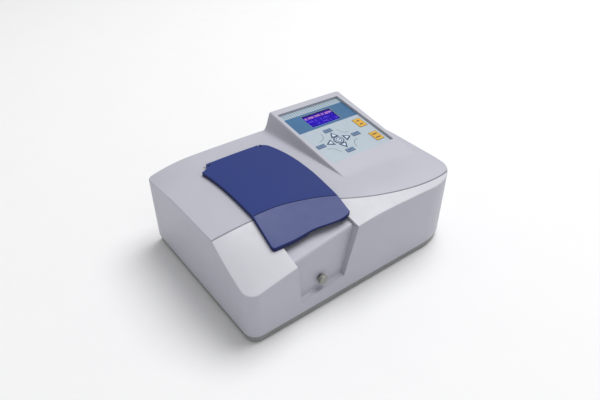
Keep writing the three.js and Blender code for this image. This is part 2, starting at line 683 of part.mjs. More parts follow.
function dataPort() {
  const shroud = about(PORT, -GAP, 156, 170.4);
  const flangeY = SHEET.y0 - GAP;
  const flange = box(PORT.x - 15.5, PORT.x + 15.5, flangeY - 2, flangeY, PORT.z - 6.5, PORT.z + 6.5);
  return cut(join(shroud, flange), about(PORT, -1.5, 164, 175));
}

// Two crossed bars of the given half-width, over the fan's bore.
function fanCross(halfWidth, y0, y1) {
  const { x, z, barHalf } = FAN;
  return [
    box(x - barHalf, x + barHalf, y0, y1, z - halfWidth, z + halfWidth),
    box(x - halfWidth, x + halfWidth, y0, y1, z - barHalf, z + barHalf),
  ];
}

function fanFrame() {
  const half = FAN.size / 2;
  const [y0, y1] = [146, SHEET.y0 - GAP];
  const frame = box(FAN.x - half, FAN.x + half, y0, y1, FAN.z - half, FAN.z + half);
  const bore = rod("y", FAN.boreR, y0 - 5, y1 + 5, [FAN.x, FAN.z], 28);
  const motorMount = rod("y", FAN.hubR, y0, y0 + 3, [FAN.x, FAN.z], 16);
  return join(cut(frame, bore), motorMount, ...fanCross(1.5, y0, y0 + 2));
}

function fanRotor() {
  const hub = rod("y", FAN.hubR, 149.5, 162, [0, 0], 16);
  const blades = range(0, 360, 7).slice(0, -1).map((degrees) => {
    const blade = new THREE.BoxGeometry(17, 1.2, 11).rotateX(0.7).translate(18, 155.5, 0);
    return blade.rotateY(THREE.MathUtils.degToRad(degrees));
  });
  return join(hub, ...blades).translate(FAN.x, 0, FAN.z);
}

function fanGrille() {
  const y0 = SHEET.y1 + GAP;
  const y1 = y0 + 1.6;
  const rings = [30, 20, 10].map((radius) => {
    const outer = rod("y", radius, y0, y1, [FAN.x, FAN.z], 28);
    return cut(outer, rod("y", radius - 2, y0 - 2, y1 + 2, [FAN.x, FAN.z], 28));
  });
  return join(...rings, ...fanCross(1, y0, y1));
}

add("rear_panel", rearSheet(), "pan");
add("power_inlet", powerInlet(), "black");
add("fuse_drawer", fuseDrawer(), "black");
add("switch_frame", switchFrame(), "black");
add("power_rocker", rocker(), "black");
add("data_port", dataPort(), "steel");
add("fan_frame", fanFrame(), "black");
add("fan_rotor", fanRotor(), "black");
add("fan_grille", fanGrille(), "steel");

// ---------------------------------------------------------------- optics and electronics

const BENCH = { x0: -10, x1: 205, y0: -110, y1: 135, z0: 12, z1: 18 };
const MONO = { x0: 10, x1: 170, y0: -95, y1: 55, z0: BENCH.z1 + GAP, z1: 98 };
const TURNTABLE = { x: 110, y: -15, topZ: 92, shaftR: 2.5 };
const MOTOR = { z0: 101.3, z1: 110 };
const ENTRY_X = 140;
const FILTER_WHEEL = { x: ENTRY_X, z: BEAM.z - 14, y0: 57.5, y1: 59.5, r: 22, holeRing: 14 };

function opticalBench() {
  const plate = box(BENCH.x0, BENCH.x1, BENCH.y0, BENCH.y1, BENCH.z0, BENCH.z1);
  const posts = [[0, -100], [195, -100], [0, 125], [195, 125]].map((centre) => {
    return rod("z", 5, PAN_FLOOR_Z + GAP, BENCH.z0 + 1, centre, 10);
  });
  return join(plate, ...posts);
}

function monochromatorBox() {
  const { x0, x1, y0, y1, z0, z1 } = MONO;
  return cut(
    box(x0, x1, y0, y1, z0, z1),
    box(x0 + 5, x1 - 5, y0 + 5, y1 - 5, z0 + 5, z1 + 5),
    rod("x", 6, x0 - 5, x0 + 9, [BEAM.y, BEAM.z], 16),
    rod("y", 6, y1 - 9, y1 + 5, [ENTRY_X, BEAM.z], 16),
    box(x0 + 5, x1 - 5, y0 + 5, y1 - 5, z1 - 6, z1 + 5),
  );
}

// Grating holder, hung on the motor's shaft through the roof.
function gratingTurntable() {
  const { x, y, topZ, shaftR } = TURNTABLE;
  const shaft = rod("z", shaftR, topZ - 1, MOTOR.z0 + 4, [0, 0], 12);
  const disc = rod("z", 20, topZ - 6, topZ, [0, 0], 24);
  const clampBack = box(-8, -3, -16, 16, topZ - 50, topZ - 5);
  return join(shaft, disc, clampBack).translate(x, y, 0);
}

function monochromatorRoof() {
  const roof = box(MONO.x0, MONO.x1, MONO.y0, MONO.y1, MONO.z1 + GAP, MOTOR.z0 - GAP);
  return cut(roof, rod("z", 6, 90, 110, [TURNTABLE.x, TURNTABLE.y], 16));
}

function wavelengthMotor() {
  const { x, y, shaftR } = TURNTABLE;
  const can = rod("z", 18, MOTOR.z0, MOTOR.z1, [x, y], 24);
  const ears = box(x - 24, x + 24, y - 5, y + 5, MOTOR.z0, MOTOR.z0 + 1.5);
  return cut(join(can, ears), rod("z", shaftR + GAP, MOTOR.z0 - 5, MOTOR.z0 + 5, [x, y], 12));
}

// Order-sorting filter wheel between the lamp house and the monochromator.
function filterWheel() {
  const { x, z, y0, y1, r, holeRing } = FILTER_WHEEL;
  const holes = range(0, 2 * Math.PI, 6).slice(0, -1).map((angle) => {
    const centre = [x + holeRing * Math.sin(angle), z + holeRing * Math.cos(angle)];
    return rod("y", 5, y0 - 5, y1 + 5, centre, 12);
  });
  const hub = rod("y", 3, y0 - 1.5, y1 + 1.5, [x, z], 12);
  return join(cut(rod("y", r, y0, y1, [x, z], 28), ...holes), hub);
}

function lens(x, radius) {
  const shoulder = radius * 0.6;
  const profile = [
    [0, -2.2], [shoulder, -1.5], [radius, -0.6], [radius, 0.6], [shoulder, 1.5], [0, 2.2],
  ];
  const points = profile.map(([r, h]) => new THREE.Vector2(r, h));
  const geometry = new THREE.LatheGeometry(points, 20).rotateZ(-Math.PI / 2);
  return geometry.translate(x, BEAM.y, BEAM.z);
}

function lensTube(x0, x1) {
  const tube = rod("x", 10, x0, x1, [BEAM.y, BEAM.z], 20);
  return cut(tube, rod("x", 8.3, x0 - 5, x1 + 5, [BEAM.y, BEAM.z], 20));
}

const LAMP_HOUSE = { x0: 115, x1: 165, y0: 62, y1: 128, z0: BENCH.z1 + GAP, z1: 104 };

function lampHouse() {
  const { x0, x1, y0, y1, z0, z1 } = LAMP_HOUSE;
  const vents = range(y0 + 15, y1 - 15, 3).map((y) => box(x0 - 5, x1 + 5, y - 2, y + 2, 40, 58));
  return cut(
    box(x0, x1, y0, y1, z0, z1),
    box(x0 + 3, x1 - 3, y0 + 3, y1 - 3, z0 + 3, z1 + 5),
    rod("y", 6, y0 - 5, y0 + 9, [ENTRY_X, BEAM.z], 16),
    ...vents,
  );
}

function lamp() {
  const profile = [
    [0, 0], [9, 0], [9, 20], [6, 22], [6, 40], [5, 48], [2, 52], [0, 52.5],
  ];
  const points = profile.map(([r, h]) => new THREE.Vector2(r, h));
  const upright = new THREE.LatheGeometry(points, 16).rotateX(Math.PI / 2);
  return upright.translate(ENTRY_X, 98, LAMP_HOUSE.z0 + 3 + GAP);
}

const DETECTOR = { x0: -200, x1: BAY.x0 - BAY_WALL - GAP, y0: -45, y1: 15, z0: 40, z1: 98 };

function detectorBox() {
  const { x0, x1, y0, y1, z0, z1 } = DETECTOR;
  const legs = box(x0, x1, y0, y1, PAN_FLOOR_Z + GAP, z0 + 1);
  const archway = box(x0 + 8, x1 - 8, y0 - 5, y1 + 5, 0, z0 - 4);
  return cut(
    join(box(x0, x1, y0, y1, z0, z1), cut(legs, archway)),
    rod("x", 6, x1 - 22, x1 + 5, [BEAM.y, BEAM.z], 16),
  );
}

function circuitBoard() {
  const board = box(45, 215, -40, 130, 112, 114);
  const parts = [
    box(60, 100, 0, 40, 113.9, 118),
    box(120, 150, 60, 90, 113.9, 120),
    box(170, 205, -20, 0, 113.9, 126),
  ];
  return join(board, ...parts);
}

function powerSupply() {
  const chassis = box(-210, -120, 80, 140, PAN_FLOOR_Z + GAP, 12);
  const core = box(-200, -150, 88, 134, 11.9, 50);
  const coil = box(-192, -158, 82, 139, 16, 46);
  const cans = [[-135, 95], [-135, 118]].map((centre) => rod("z", 8, 11.9, 44, centre, 14));
  return join(chassis, core, coil, ...cans);
}

add("optical_bench", opticalBench(), "alloy");
add("monochromator_housing", monochromatorBox(), "black");
add("monochromator_lid", monochromatorRoof(), "alloy");
add("wavelength_motor", wavelengthMotor(), "steel");
add("grating_turntable", gratingTurntable(), "alloy");
add("filter_wheel", filterWheel(), "alloy");
const gratingTop = TURNTABLE.topZ - 6 - GAP;
const gratingBlock = box(-3 + GAP, 5, -15, 15, gratingTop - 38, gratingTop);
add("diffraction_grating", gratingBlock.translate(TURNTABLE.x, TURNTABLE.y, 0), "glass");
const tubeX = [BAY.x1 + BAY_WALL + GAP, MONO.x0 - GAP];
add("beam_tube", lensTube(...tubeX), "black");
add("exit_lens", lens((tubeX[0] + tubeX[1]) / 2, 8), "glass");
add("lamp_house", lampHouse(), "alloy");
add("tungsten_lamp", lamp(), "glass");
add("detector_housing", detectorBox(), "black");
add("main_board", circuitBoard(), "board");
add("power_supply", powerSupply(), "alloy");

group.position.y = -ORIGIN_Y;

export default group;
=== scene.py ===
"""Bench spectrophotometer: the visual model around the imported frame.

Shapes are worked out in millimetres, +Z up and the operator's side towards -Y, with
y = 0 under the sample bay's middle row. make_piece() turns them into meshes in metres
and moves them forward by ORIGIN_Y, to the frame's origin at the footprint's centre.
"""

import json
import math

import bmesh
import bpy
import numpy as np
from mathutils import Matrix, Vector
from mathutils.geometry import delaunay_2d_cdt
from mathutils.kdtree import KDTree


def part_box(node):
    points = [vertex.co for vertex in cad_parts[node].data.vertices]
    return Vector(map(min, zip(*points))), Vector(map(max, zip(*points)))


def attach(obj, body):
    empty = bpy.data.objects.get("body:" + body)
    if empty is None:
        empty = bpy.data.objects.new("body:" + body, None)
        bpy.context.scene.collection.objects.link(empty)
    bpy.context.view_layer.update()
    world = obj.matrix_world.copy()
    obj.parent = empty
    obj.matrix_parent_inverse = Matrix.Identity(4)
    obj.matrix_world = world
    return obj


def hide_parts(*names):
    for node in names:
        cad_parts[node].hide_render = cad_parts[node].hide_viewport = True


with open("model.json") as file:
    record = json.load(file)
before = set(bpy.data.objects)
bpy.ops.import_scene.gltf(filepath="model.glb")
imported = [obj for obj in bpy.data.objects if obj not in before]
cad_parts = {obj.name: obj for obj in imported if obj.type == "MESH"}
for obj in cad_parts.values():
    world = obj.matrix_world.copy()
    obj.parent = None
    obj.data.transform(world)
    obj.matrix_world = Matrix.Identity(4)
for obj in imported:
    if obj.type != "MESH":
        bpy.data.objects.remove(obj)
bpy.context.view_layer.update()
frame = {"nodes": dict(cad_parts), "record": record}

MM = 0.001
ORIGIN_Y = 5.5


def to_frame(point):
    """A point in drawing millimetres as metres in the frame."""
    x, y, z = point
    return (x * MM, (y - ORIGIN_Y) * MM, z * MM)


def node_box(node):
    """Lowest and highest corner of a CAD node, in drawing millimetres."""
    low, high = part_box(node)
    shift = Vector((0, ORIGIN_Y, 0))
    return low / MM + shift, high / MM + shift


# ---- driving sizes

COVER_LOW, COVER_HIGH = node_box("main_cover")
LEFT_X, RIGHT_X = COVER_LOW.x, COVER_HIGH.x
FRONT_Y, BACK_Y = COVER_LOW.y, COVER_HIGH.y
COVER_BOTTOM_Z = COVER_LOW.z
WALL = 3.0

# top surface of the cover
FLAT_Z = 151
CROWN = 6
CROWN_X = 10
CROWN_HALF_WIDTH = 240
CROWN_START_Y = -54
ROLL_START_Y = -89
ROLL_RATE = 0.0018
GROOVE = [
    (-232, -62.5), (-160, -61), (-112, -61.5), (-80, -68.5), (-45, -80.5), (-15, -95.5),
    (12, -110.5), (50, -126.5), (100, -139.5), (150, -145.5), (200, -143.5), (232, -134),
]
FRONT_EDGE = [
    (-232, 97), (-207, 103.3), (-142, 116), (-22, 136.3), (31, 140.7), (95, 140),
    (140, 138.8), (232, 135),
]
LEFT_FALL_X, LEFT_FALL_FRONT, LEFT_FALL_BACK, LEFT_FALL_FACET = -142, 3.2, 12.2, 6
LEFT_FALL_START_Y = 50
RIGHT_FALL_X, RIGHT_FALL_FRONT = 60, 5.5
RIGHT_FALL_START_Y, RIGHT_FALL_LENGTH = 5, 115
GROOVE_LINES = (-1.2, -1.0, -0.5, 0, 0.5, 1.0, 1.2)  # mesh lines along it, in half-widths
GROOVE_HALF_WIDTH = 1.3
GROOVE_DEPTH = 2.4
EDGE_RADIUS = 1.4
EDGE_SUPPORT = 0.7  # narrow bands beside an edge, which keep the faces next to it flat

# corners of the plan
FRONT_LEFT_R = 21
BACK_LEFT_R = 10
BACK_RIGHT_R = 24
FRONT_RIGHT_RX, FRONT_RIGHT_RY = 76, 46

# console
CONSOLE_LEFT_X = 38.5
CONSOLE_Z = 161.03
CONSOLE_RISE = 0.179
CONSOLE_TILT = math.atan(CONSOLE_RISE)
CONSOLE_FRONT_Y = -62
CONSOLE_DRAFT_FRONT, CONSOLE_DRAFT_BACK = 0.22, 0.34
CONSOLE_RIGHT_FRONT, CONSOLE_RIGHT_BACK, CONSOLE_RIGHT_DRAFT = 209, 218, 0.3
CONSOLE_EDGE_BLEND = 6.0
CONSOLE_FOOT_BLEND_FRONT, CONSOLE_FOOT_BLEND_BACK = 1.0, 16.0
CONSOLE_FOOT_Y0, CONSOLE_FOOT_Y1 = -20, 165
PANEL_X0, PANEL_X1, PANEL_V0, PANEL_V1 = 46.5, 202.5, -15, 158.6
OVERLAY_TOP_W, OVERLAY_LOW_W = -5.0, -6.9
KEY_TOP_W, KEY_LOW_W = -4.5, -6.2
WINDOW_X0, WINDOW_X1, WINDOW_V0, WINDOW_V1 = 88.5, 162.5, 95.3, 136.4
KEYPAD_X, KEYPAD_V = 108, 38.8

# sample bay and its recess in the front wall
BAY_X0, BAY_X1, BAY_Y0, BAY_Y1 = -142, -22, -112, 66
RECESS_LOW_LEFT = (-135, 37)
RECESS_LOW_RIGHT = (-47, 45)
PANEL_FOOT_Y = -149
PANEL_HEAD_Y = -146.5
LEDGE_RISE = 2.0
RECESS_GAP = 0.15
DECK_Z, DECK_Z_GAIN = 111.3, 20.7  # at the left, and how much higher it is at the right
DECK_SLOPE, DECK_SLOPE_LOSS = 0.25, 0.15

# lid
LID_RISE = 7
LID_SKIRT = 6.4
LID_WALL = 2.4
LID_EDGE_RADIUS = 1.0
LID_SEAM_HALF_WIDTH, LID_SEAM_DEPTH = 0.85, 1.1

# mesh
MESH_STEP = 6
FINE_COUNT, FINE_STEP = 8, 0.6  # extra points on each side of a fine spot
CORNER_STEPS = 4
GRID_CLEARANCE = 1.5  # least distance of a grid point from any line
GROOVE_STEP = 2


# ---- curves and heights

def clamp01(t):
    return min(1.0, max(0.0, t))


def smooth_step(a, b, t):
    s = clamp01((t - a) / (b - a))
    return s * s * (3 - 2 * s)


def smooth_max(a, b, blend):
    h = max(blend - abs(a - b), 0.0) / blend
    return max(a, b) + h * h * blend / 4


def smooth_min(a, b, blend):
    return -smooth_max(-a, -b, blend)


def through(points, x):
    """Smooth value at x through a short list of (x, value) points (cubic Hermite)."""
    i = 0
    while i < len(points) - 2 and x > points[i + 1][0]:
        i += 1

    def slope_at(k):
        a = points[max(0, k - 1)]
        b = points[min(len(points) - 1, k + 1)]
        return (b[1] - a[1]) / (b[0] - a[0])

    x0, v0 = points[i]
    x1, v1 = points[i + 1]
    span = x1 - x0
    t = clamp01((x - x0) / span)
    bend = v0 * (1 + 2 * t) * (1 - t) ** 2 + v1 * t * t * (3 - 2 * t)
    return bend + span * (slope_at(i) * t * (1 - t) ** 2 - slope_at(i + 1) * t * t * (1 - t))


def groove_y(x):
    return through(GROOVE, x)


def left_share(x):
    """How much of the fall at the left edge the top has at x."""
    return clamp01((LEFT_FALL_X - x) / (LEFT_FALL_X - LEFT_X)) ** 2


def edge_fall(x, y):
    """How far the top falls away near its left and right edges."""
    left = LEFT_FALL_FRONT + (LEFT_FALL_BACK - LEFT_FALL_FRONT) * smooth_step(LEFT_FALL_START_Y, BACK_Y, y)
    right_share = clamp01((x - RIGHT_FALL_X) / (RIGHT_X - RIGHT_FALL_X)) ** 2
    forward = clamp01((RIGHT_FALL_START_Y - y) / RIGHT_FALL_LENGTH)
    return left * left_share(x) + RIGHT_FALL_FRONT * forward * right_share


def rear_top(x, y):
    across = 1 - ((x - CROWN_X) / CROWN_HALF_WIDTH) ** 2
    along = clamp01((y - CROWN_START_Y) / (BACK_Y - CROWN_START_Y))
    roll = ROLL_RATE * max(0, ROLL_START_Y - y) ** 2
    return FLAT_Z + CROWN * across * along - roll - edge_fall(x, y)


def body_top(x, y):
    """Crowned behind the groove, sloping to the front edge ahead of it."""
    crease = groove_y(x)
    if y >= crease:
        return rear_top(x, y)
    t = (crease - y) / (crease - FRONT_Y)
    sag = LEFT_FALL_FACET * left_share(x) * max(0.0, 4 * t * (1 - t))
    return rear_top(x, crease) * (1 - t) + through(FRONT_EDGE, x) * t - sag


def groove_offset(x, y):
    """Signed distance from the groove line, measured square to it."""
    slope = (groove_y(x + 1) - groove_y(x - 1)) / 2
    return (y - groove_y(x)) / math.sqrt(1 + slope * slope)


def groove_line(xs, offset):
    """Points that keep the same distance from the groove line."""
    return [(x, groove_y(x) + offset / groove_offset(x, groove_y(x) + 1)) for x in xs]


def groove_cut(x, y, half_width, depth):
    """Depth of the fine channel that follows the groove line."""
    return depth * max(0.0, 1 - abs(groove_offset(x, y)) / half_width)


def console_top(y):
    return CONSOLE_Z + CONSOLE_RISE * y


def console_draft(y):
    """The left wall leans more, and its foot is rounder, towards the back."""
    along = clamp01((y - CONSOLE_FRONT_Y) / (BACK_Y - CONSOLE_FRONT_Y))
    return CONSOLE_DRAFT_FRONT + (CONSOLE_DRAFT_BACK - CONSOLE_DRAFT_FRONT) * along


def console_right(y):
    along = (y - CONSOLE_FRONT_Y) / (BACK_Y - CONSOLE_FRONT_Y)
    return CONSOLE_RIGHT_FRONT + (CONSOLE_RIGHT_BACK - CONSOLE_RIGHT_FRONT) * along


def cover_top(x, y):
    body = body_top(x, y) - groove_cut(x, y, GROOVE_HALF_WIDTH, GROOVE_DEPTH)
    left = console_top(y) + (x - CONSOLE_LEFT_X) / console_draft(y)
    right = console_top(y) + (console_right(y) - x) / CONSOLE_RIGHT_DRAFT
    console = smooth_min(console_top(y), min(left, right), CONSOLE_EDGE_BLEND)
    rounding = CONSOLE_FOOT_BLEND_BACK - CONSOLE_FOOT_BLEND_FRONT
    blend = CONSOLE_FOOT_BLEND_FRONT + rounding * smooth_step(CONSOLE_FOOT_Y0, CONSOLE_FOOT_Y1, y)
    return smooth_max(body, console, blend)


def lid_top(x, y):
    return body_top(x, y) + LID_RISE - groove_cut(x, y, LID_SEAM_HALF_WIDTH, LID_SEAM_DEPTH)


def deck_z(x, y):
    """Deck ahead of the bay: the cover's slope, a few millimetres lower."""
    across = (x - BAY_X0) / (BAY_X1 - BAY_X0)
    front_z = DECK_Z + DECK_Z_GAIN * across
    slope = DECK_SLOPE - DECK_SLOPE_LOSS * across
    return front_z + slope * (y - PANEL_FOOT_Y)


def on_console(x, v, w=0.0):
    """Point given in the console plane's own axes: x, v up the slope and w outward."""
    s, c = math.sin(CONSOLE_TILT), math.cos(CONSOLE_TILT)
    return (x, v * c - w * s, CONSOLE_Z + v * s + w * c)


# ---- plan outlines

def stops(a, b, step, fine=()):
    """Coordinates from a to b, closer together around each fine spot."""
    count = max(1, round(abs(b - a) / step))
    values = {round(a + (b - a) * i / count, 4) for i in range(count + 1)}
    low, high = min(a, b), max(a, b)
    for spot in fine:
        for i in range(-FINE_COUNT, FINE_COUNT + 1):
            value = round(spot + i * FINE_STEP, 4)
            if low < value < high:
                values.add(value)
    return sorted(values, reverse=b < a)


def arc(centre, rx, ry, start, end, step=5, fine=()):
    """Outline samples (x, y, nx, ny) along an elliptical arc, in degrees."""
    samples = []
    for degrees in stops(start, end, step, fine):
        t = math.radians(degrees)
        nx, ny = math.cos(t) / rx, math.sin(t) / ry
        size = math.hypot(nx, ny)
        samples.append((centre[0] + rx * math.cos(t), centre[1] + ry * math.sin(t), nx / size, ny / size))
    return samples


def groove_crossing_angle():
    """Angle on the front-right corner's ellipse where the groove leaves the body."""
    low, high = -80.0, 0.0
    for _ in range(40):
        middle = (low + high) / 2
        t = math.radians(middle)
        x = RIGHT_X - FRONT_RIGHT_RX + FRONT_RIGHT_RX * math.cos(t)
        y = FRONT_Y + FRONT_RIGHT_RY + FRONT_RIGHT_RY * math.sin(t)
        low, high = (middle, high) if y < groove_y(x) else (low, middle)
    return low


def body_rim(start_x, end_x):
    """Outline samples (x, y, nx, ny) anticlockwise, from start_x on the front edge to end_x."""
    x0, x1, y0, y1 = LEFT_X, RIGHT_X, FRONT_Y, BACK_Y
    foot_x = CONSOLE_LEFT_X - console_draft(y1) * (console_top(y1) - rear_top(CONSOLE_LEFT_X, y1))
    rim = [(x, y0, 0, -1) for x in stops(start_x, x1 - FRONT_RIGHT_RX, MESH_STEP)]
    corner = (x1 - FRONT_RIGHT_RX, y0 + FRONT_RIGHT_RY)
    rim += arc(corner, FRONT_RIGHT_RX, FRONT_RIGHT_RY, -90, 0, 3, [groove_crossing_angle()])
    rim += [(x1, y, 1, 0) for y in stops(corner[1], y1 - BACK_RIGHT_R, MESH_STEP)]
    rim += arc((x1 - BACK_RIGHT_R, y1 - BACK_RIGHT_R), BACK_RIGHT_R, BACK_RIGHT_R, 0, 90)
    console_fine = [foot_x, (foot_x + CONSOLE_LEFT_X) / 2, CONSOLE_LEFT_X + 2]
    rear_fine = [REAR_X0 + 2, REAR_X1 - 2]
    back = stops(x1 - BACK_RIGHT_R, x0 + BACK_LEFT_R, MESH_STEP, console_fine + rear_fine)
    rim += [(x, y1, 0, 1) for x in back]
    rim += arc((x0 + BACK_LEFT_R, y1 - BACK_LEFT_R), BACK_LEFT_R, BACK_LEFT_R, 90, 180)
    side = stops(y1 - BACK_LEFT_R, y0 + FRONT_LEFT_R, MESH_STEP, [groove_y(x0)])
    rim += [(x0, y, -1, 0) for y in side]
    rim += arc((x0 + FRONT_LEFT_R, y0 + FRONT_LEFT_R), FRONT_LEFT_R, FRONT_LEFT_R, 180, 270, 4)
    rim += [(x, y0, 0, -1) for x in stops(x0 + FRONT_LEFT_R, end_x, MESH_STEP)]
    return without_repeats(rim)


def without_repeats(samples):
    kept = []
    for sample in samples:
        if not kept or math.dist(sample[:2], kept[-1][:2]) > 0.01:
            kept.append(sample)
    return kept


def rounded(points, radius):
    """Closed polygon with its corners rounded."""
    result = []
    count = len(points)
    for i, point in enumerate(points):
        here = Vector(point)
        to_before = Vector(points[i - 1]) - here
        to_after = Vector(points[(i + 1) % count]) - here
        half = to_before.angle(to_after) / 2
        reach = min(radius / math.tan(half), 0.49 * to_before.length, 0.49 * to_after.length)
        start = here + to_before.normalized() * reach
        end = here + to_after.normalized() * reach
        for k in range(CORNER_STEPS + 1):
            t = k / CORNER_STEPS
            result.append(tuple(start * (1 - t) ** 2 + here * 2 * t * (1 - t) + end * t * t))
    return result


def filled_in(points, spacing):
    """Closed polygon with extra points so that no side is longer than spacing."""
    result = []
    for (ax, ay), (bx, by) in zip(points, points[1:] + points[:1]):
        count = max(1, math.ceil(math.dist((ax, ay), (bx, by)) / spacing))
        result += [(ax + (bx - ax) * k / count, ay + (by - ay) * k / count) for k in range(count)]
    return result


def plan_of(line):
    return [tuple(p[:2]) for p in line]


def at_height(line, z):
    return [(p[0], p[1], z) for p in line]


def with_normals(points):
    """Closed outline as samples (x, y, nx, ny); the normals point right of travel."""
    samples = []
    count = len(points)
    for i, (x, y) in enumerate(points):
        ax, ay = points[i - 1]
        bx, by = points[(i + 1) % count]
        one = Vector((y - ay, ax - x)).normalized()
        two = Vector((by - y, x - bx)).normalized()
        normal = one + two
        normal = normal.normalized() if normal.length > 1e-6 else one
        reach = 1 / max(0.5, normal.dot(one))
        samples.append((x, y, normal.x * reach, normal.y * reach))
    return samples


def rectangle(x0, x1, y0, y1, radius=0.0, clockwise=False):
    corners = [(x0, y0), (x1, y0), (x1, y1), (x0, y1)]
    if clockwise:
        corners.reverse()
    return rounded(corners, radius) if radius else corners


# ---- mesh making

class Shape:
    """Vertices and faces gathered in millimetres, each face with a material index."""

    def __init__(self):
        self.vertices = []
        self.faces = []
        self.finishes = []

    def add(self, points, faces, finish=0):
        base = len(self.vertices)
        self.vertices += [tuple(p) for p in points]
        for face in faces:
            self.faces.append(tuple(base + i for i in face))
            self.finishes.append(finish)

    def strip(self, ring_a, ring_b, closed=True, finish=0):
        """Quads between two rings; seen from outside, travel keeps the void on the right."""
        count = len(ring_a)
        points = list(ring_a) + list(ring_b)
        faces = []
        for i in range(count if closed else count - 1):
            j = (i + 1) % count
            faces.append((i, count + i, count + j, j))
        self.add(points, faces, finish)

    def rings(self, rings, closed=True, finish=0):
        for a, b in zip(rings, rings[1:]):
            self.strip(a, b, closed, finish)

    def cap(self, ring, up=True, finish=0):
        face = tuple(range(len(ring)))
        self.add(ring, [face if up else face[::-1]], finish)


def inside(points, polygon):
    """Which of the points (an array of x, y) lie inside the polygon."""
    x, y = points[:, 0], points[:, 1]
    result = np.zeros(len(points), bool)
    for (ax, ay), (bx, by) in zip(polygon, polygon[1:] + polygon[:1]):
        if ay == by:
            continue
        crosses = (ay > y) != (by > y)
        result ^= crosses & (x < (bx - ax) * (y - ay) / (by - ay) + ax)
    return result


def inside_region(points, outer, holes):
    """Which of the points lie inside the outline and outside every hole."""
    result = inside(points, outer)
    for hole in holes:
        result &= ~inside(points, hole)
    return result


def plan_mesh(outer, holes, creases, columns, rows):
    """Triangulates a plan region: its outline, holes, crease lines and a grid of inner points."""
    points, edges = [], []
    for number, line in enumerate([outer, *holes, *creases]):
        base = len(points)
        points += line
        edges += [(base + i, base + i + 1) for i in range(len(line) - 1)]
        if number <= len(holes):
            edges.append((base + len(line) - 1, base))
    tree = KDTree(len(points))
    for i, (x, y) in enumerate(points):
        tree.insert((x, y, 0), i)
    tree.balance()
    grid = [(x, y) for x in columns for y in rows if tree.find((x, y, 0))[2] > GRID_CLEARANCE]
    if grid:
        array = np.array(grid)
        points += [tuple(p) for p in array[inside_region(array, outer, holes)]]
    result = delaunay_2d_cdt([Vector(p) for p in points], edges, [], 0, 1e-5)
    flat, triangles = result[0], result[2]
    centres = np.array([sum((flat[i] for i in t), Vector((0, 0))) / len(t) for t in triangles])
    keep = inside_region(centres, outer, holes)
    return [tuple(p) for p in flat], [t for t, k in zip(triangles, keep) if k], centres[keep]


QUARTER = [math.radians(90 * i / 4) for i in range(5)]
WELD_DISTANCE, SLIVER_SIZE = 2e-6, 1e-6  # metres
SHARP_CLOSED, SHARP_SHELL, SHARP_PLATE = 35, 40, 12  # degrees between faces


def edge_profile(radius, support=EDGE_SUPPORT):
    """(distance in from the wall, drop below the top) round an edge, with a band at each end."""
    turns = [(radius * (1 - math.sin(a)), radius * (1 - math.cos(a))) for a in QUARTER]
    return [(radius + support, 0)] + turns + [(0, radius + support)]


def edge_rings(samples, radius_at, height):
    """Rings over a vertical edge, from the top surface down to the wall."""
    rings = []
    for step in range(len(QUARTER) + 2):
        ring = []
        for x, y, nx, ny in samples:
            back, drop = edge_profile(radius_at(x, y))[step]
            px, py = x - nx * back, y - ny * back
            ring.append((px, py, height(px, py) - drop))
        rings.append(ring)
    return rings


def linked(name, data):
    """A new object in the scene."""
    thing = bpy.data.objects.new(name, data)
    bpy.context.collection.objects.link(thing)
    return thing


def welded(name, shape, finishes=(), closed=True):
    """Object in metres from a Shape, its shared points joined and, if closed, its faces out."""
    mesh = bpy.data.meshes.new(name)
    mesh.from_pydata([to_frame(p) for p in shape.vertices], [], shape.faces)
    for finish in finishes:
        mesh.materials.append(finish)
    mesh.polygons.foreach_set("material_index", shape.finishes)
    tidy = bmesh.new()
    tidy.from_mesh(mesh)
    bmesh.ops.remove_doubles(tidy, verts=tidy.verts, dist=WELD_DISTANCE)
    bmesh.ops.dissolve_degenerate(tidy, dist=SLIVER_SIZE, edges=tidy.edges)
    if closed:
        bmesh.ops.recalc_face_normals(tidy, faces=tidy.faces)
    tidy.to_mesh(mesh)
    tidy.free()
    return linked(name, mesh)


def apply_modifiers(piece):
    bpy.context.view_layer.update()
    graph = bpy.context.evaluated_depsgraph_get()
    piece.data = bpy.data.meshes.new_from_object(piece.evaluated_get(graph))
    piece.modifiers.clear()


def make_piece(name, shape, body, finishes, replaces=(), solid=0.0, sharp=SHARP_CLOSED):
    """A finished piece, given a wall of the stated thickness in millimetres if solid is set."""
    piece = welded(name, shape, [FINISH[finish] for finish in finishes], closed=not solid)
    if solid:
        wall = piece.modifiers.new("wall", "SOLIDIFY")
        wall.thickness = solid * MM
        wall.offset = -1
        wall.use_quality_normals = True
        apply_modifiers(piece)
    piece.data.shade_smooth()
    piece.data.set_sharp_from_angle(angle=math.radians(sharp))
    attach(piece, body)
    if replaces:
        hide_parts(*replaces)
    return piece


# ---- materials

def srgb(code):
    """Linear colour from a #rrggbb code."""
    values = [int(code[i:i + 2], 16) / 255 for i in (1, 3, 5)]
    return tuple(v / 12.92 if v <= 0.04045 else ((v + 0.055) / 1.055) ** 2.4 for v in values) + (1.0,)


GRAIN_HEIGHT = 0.00012  # metres


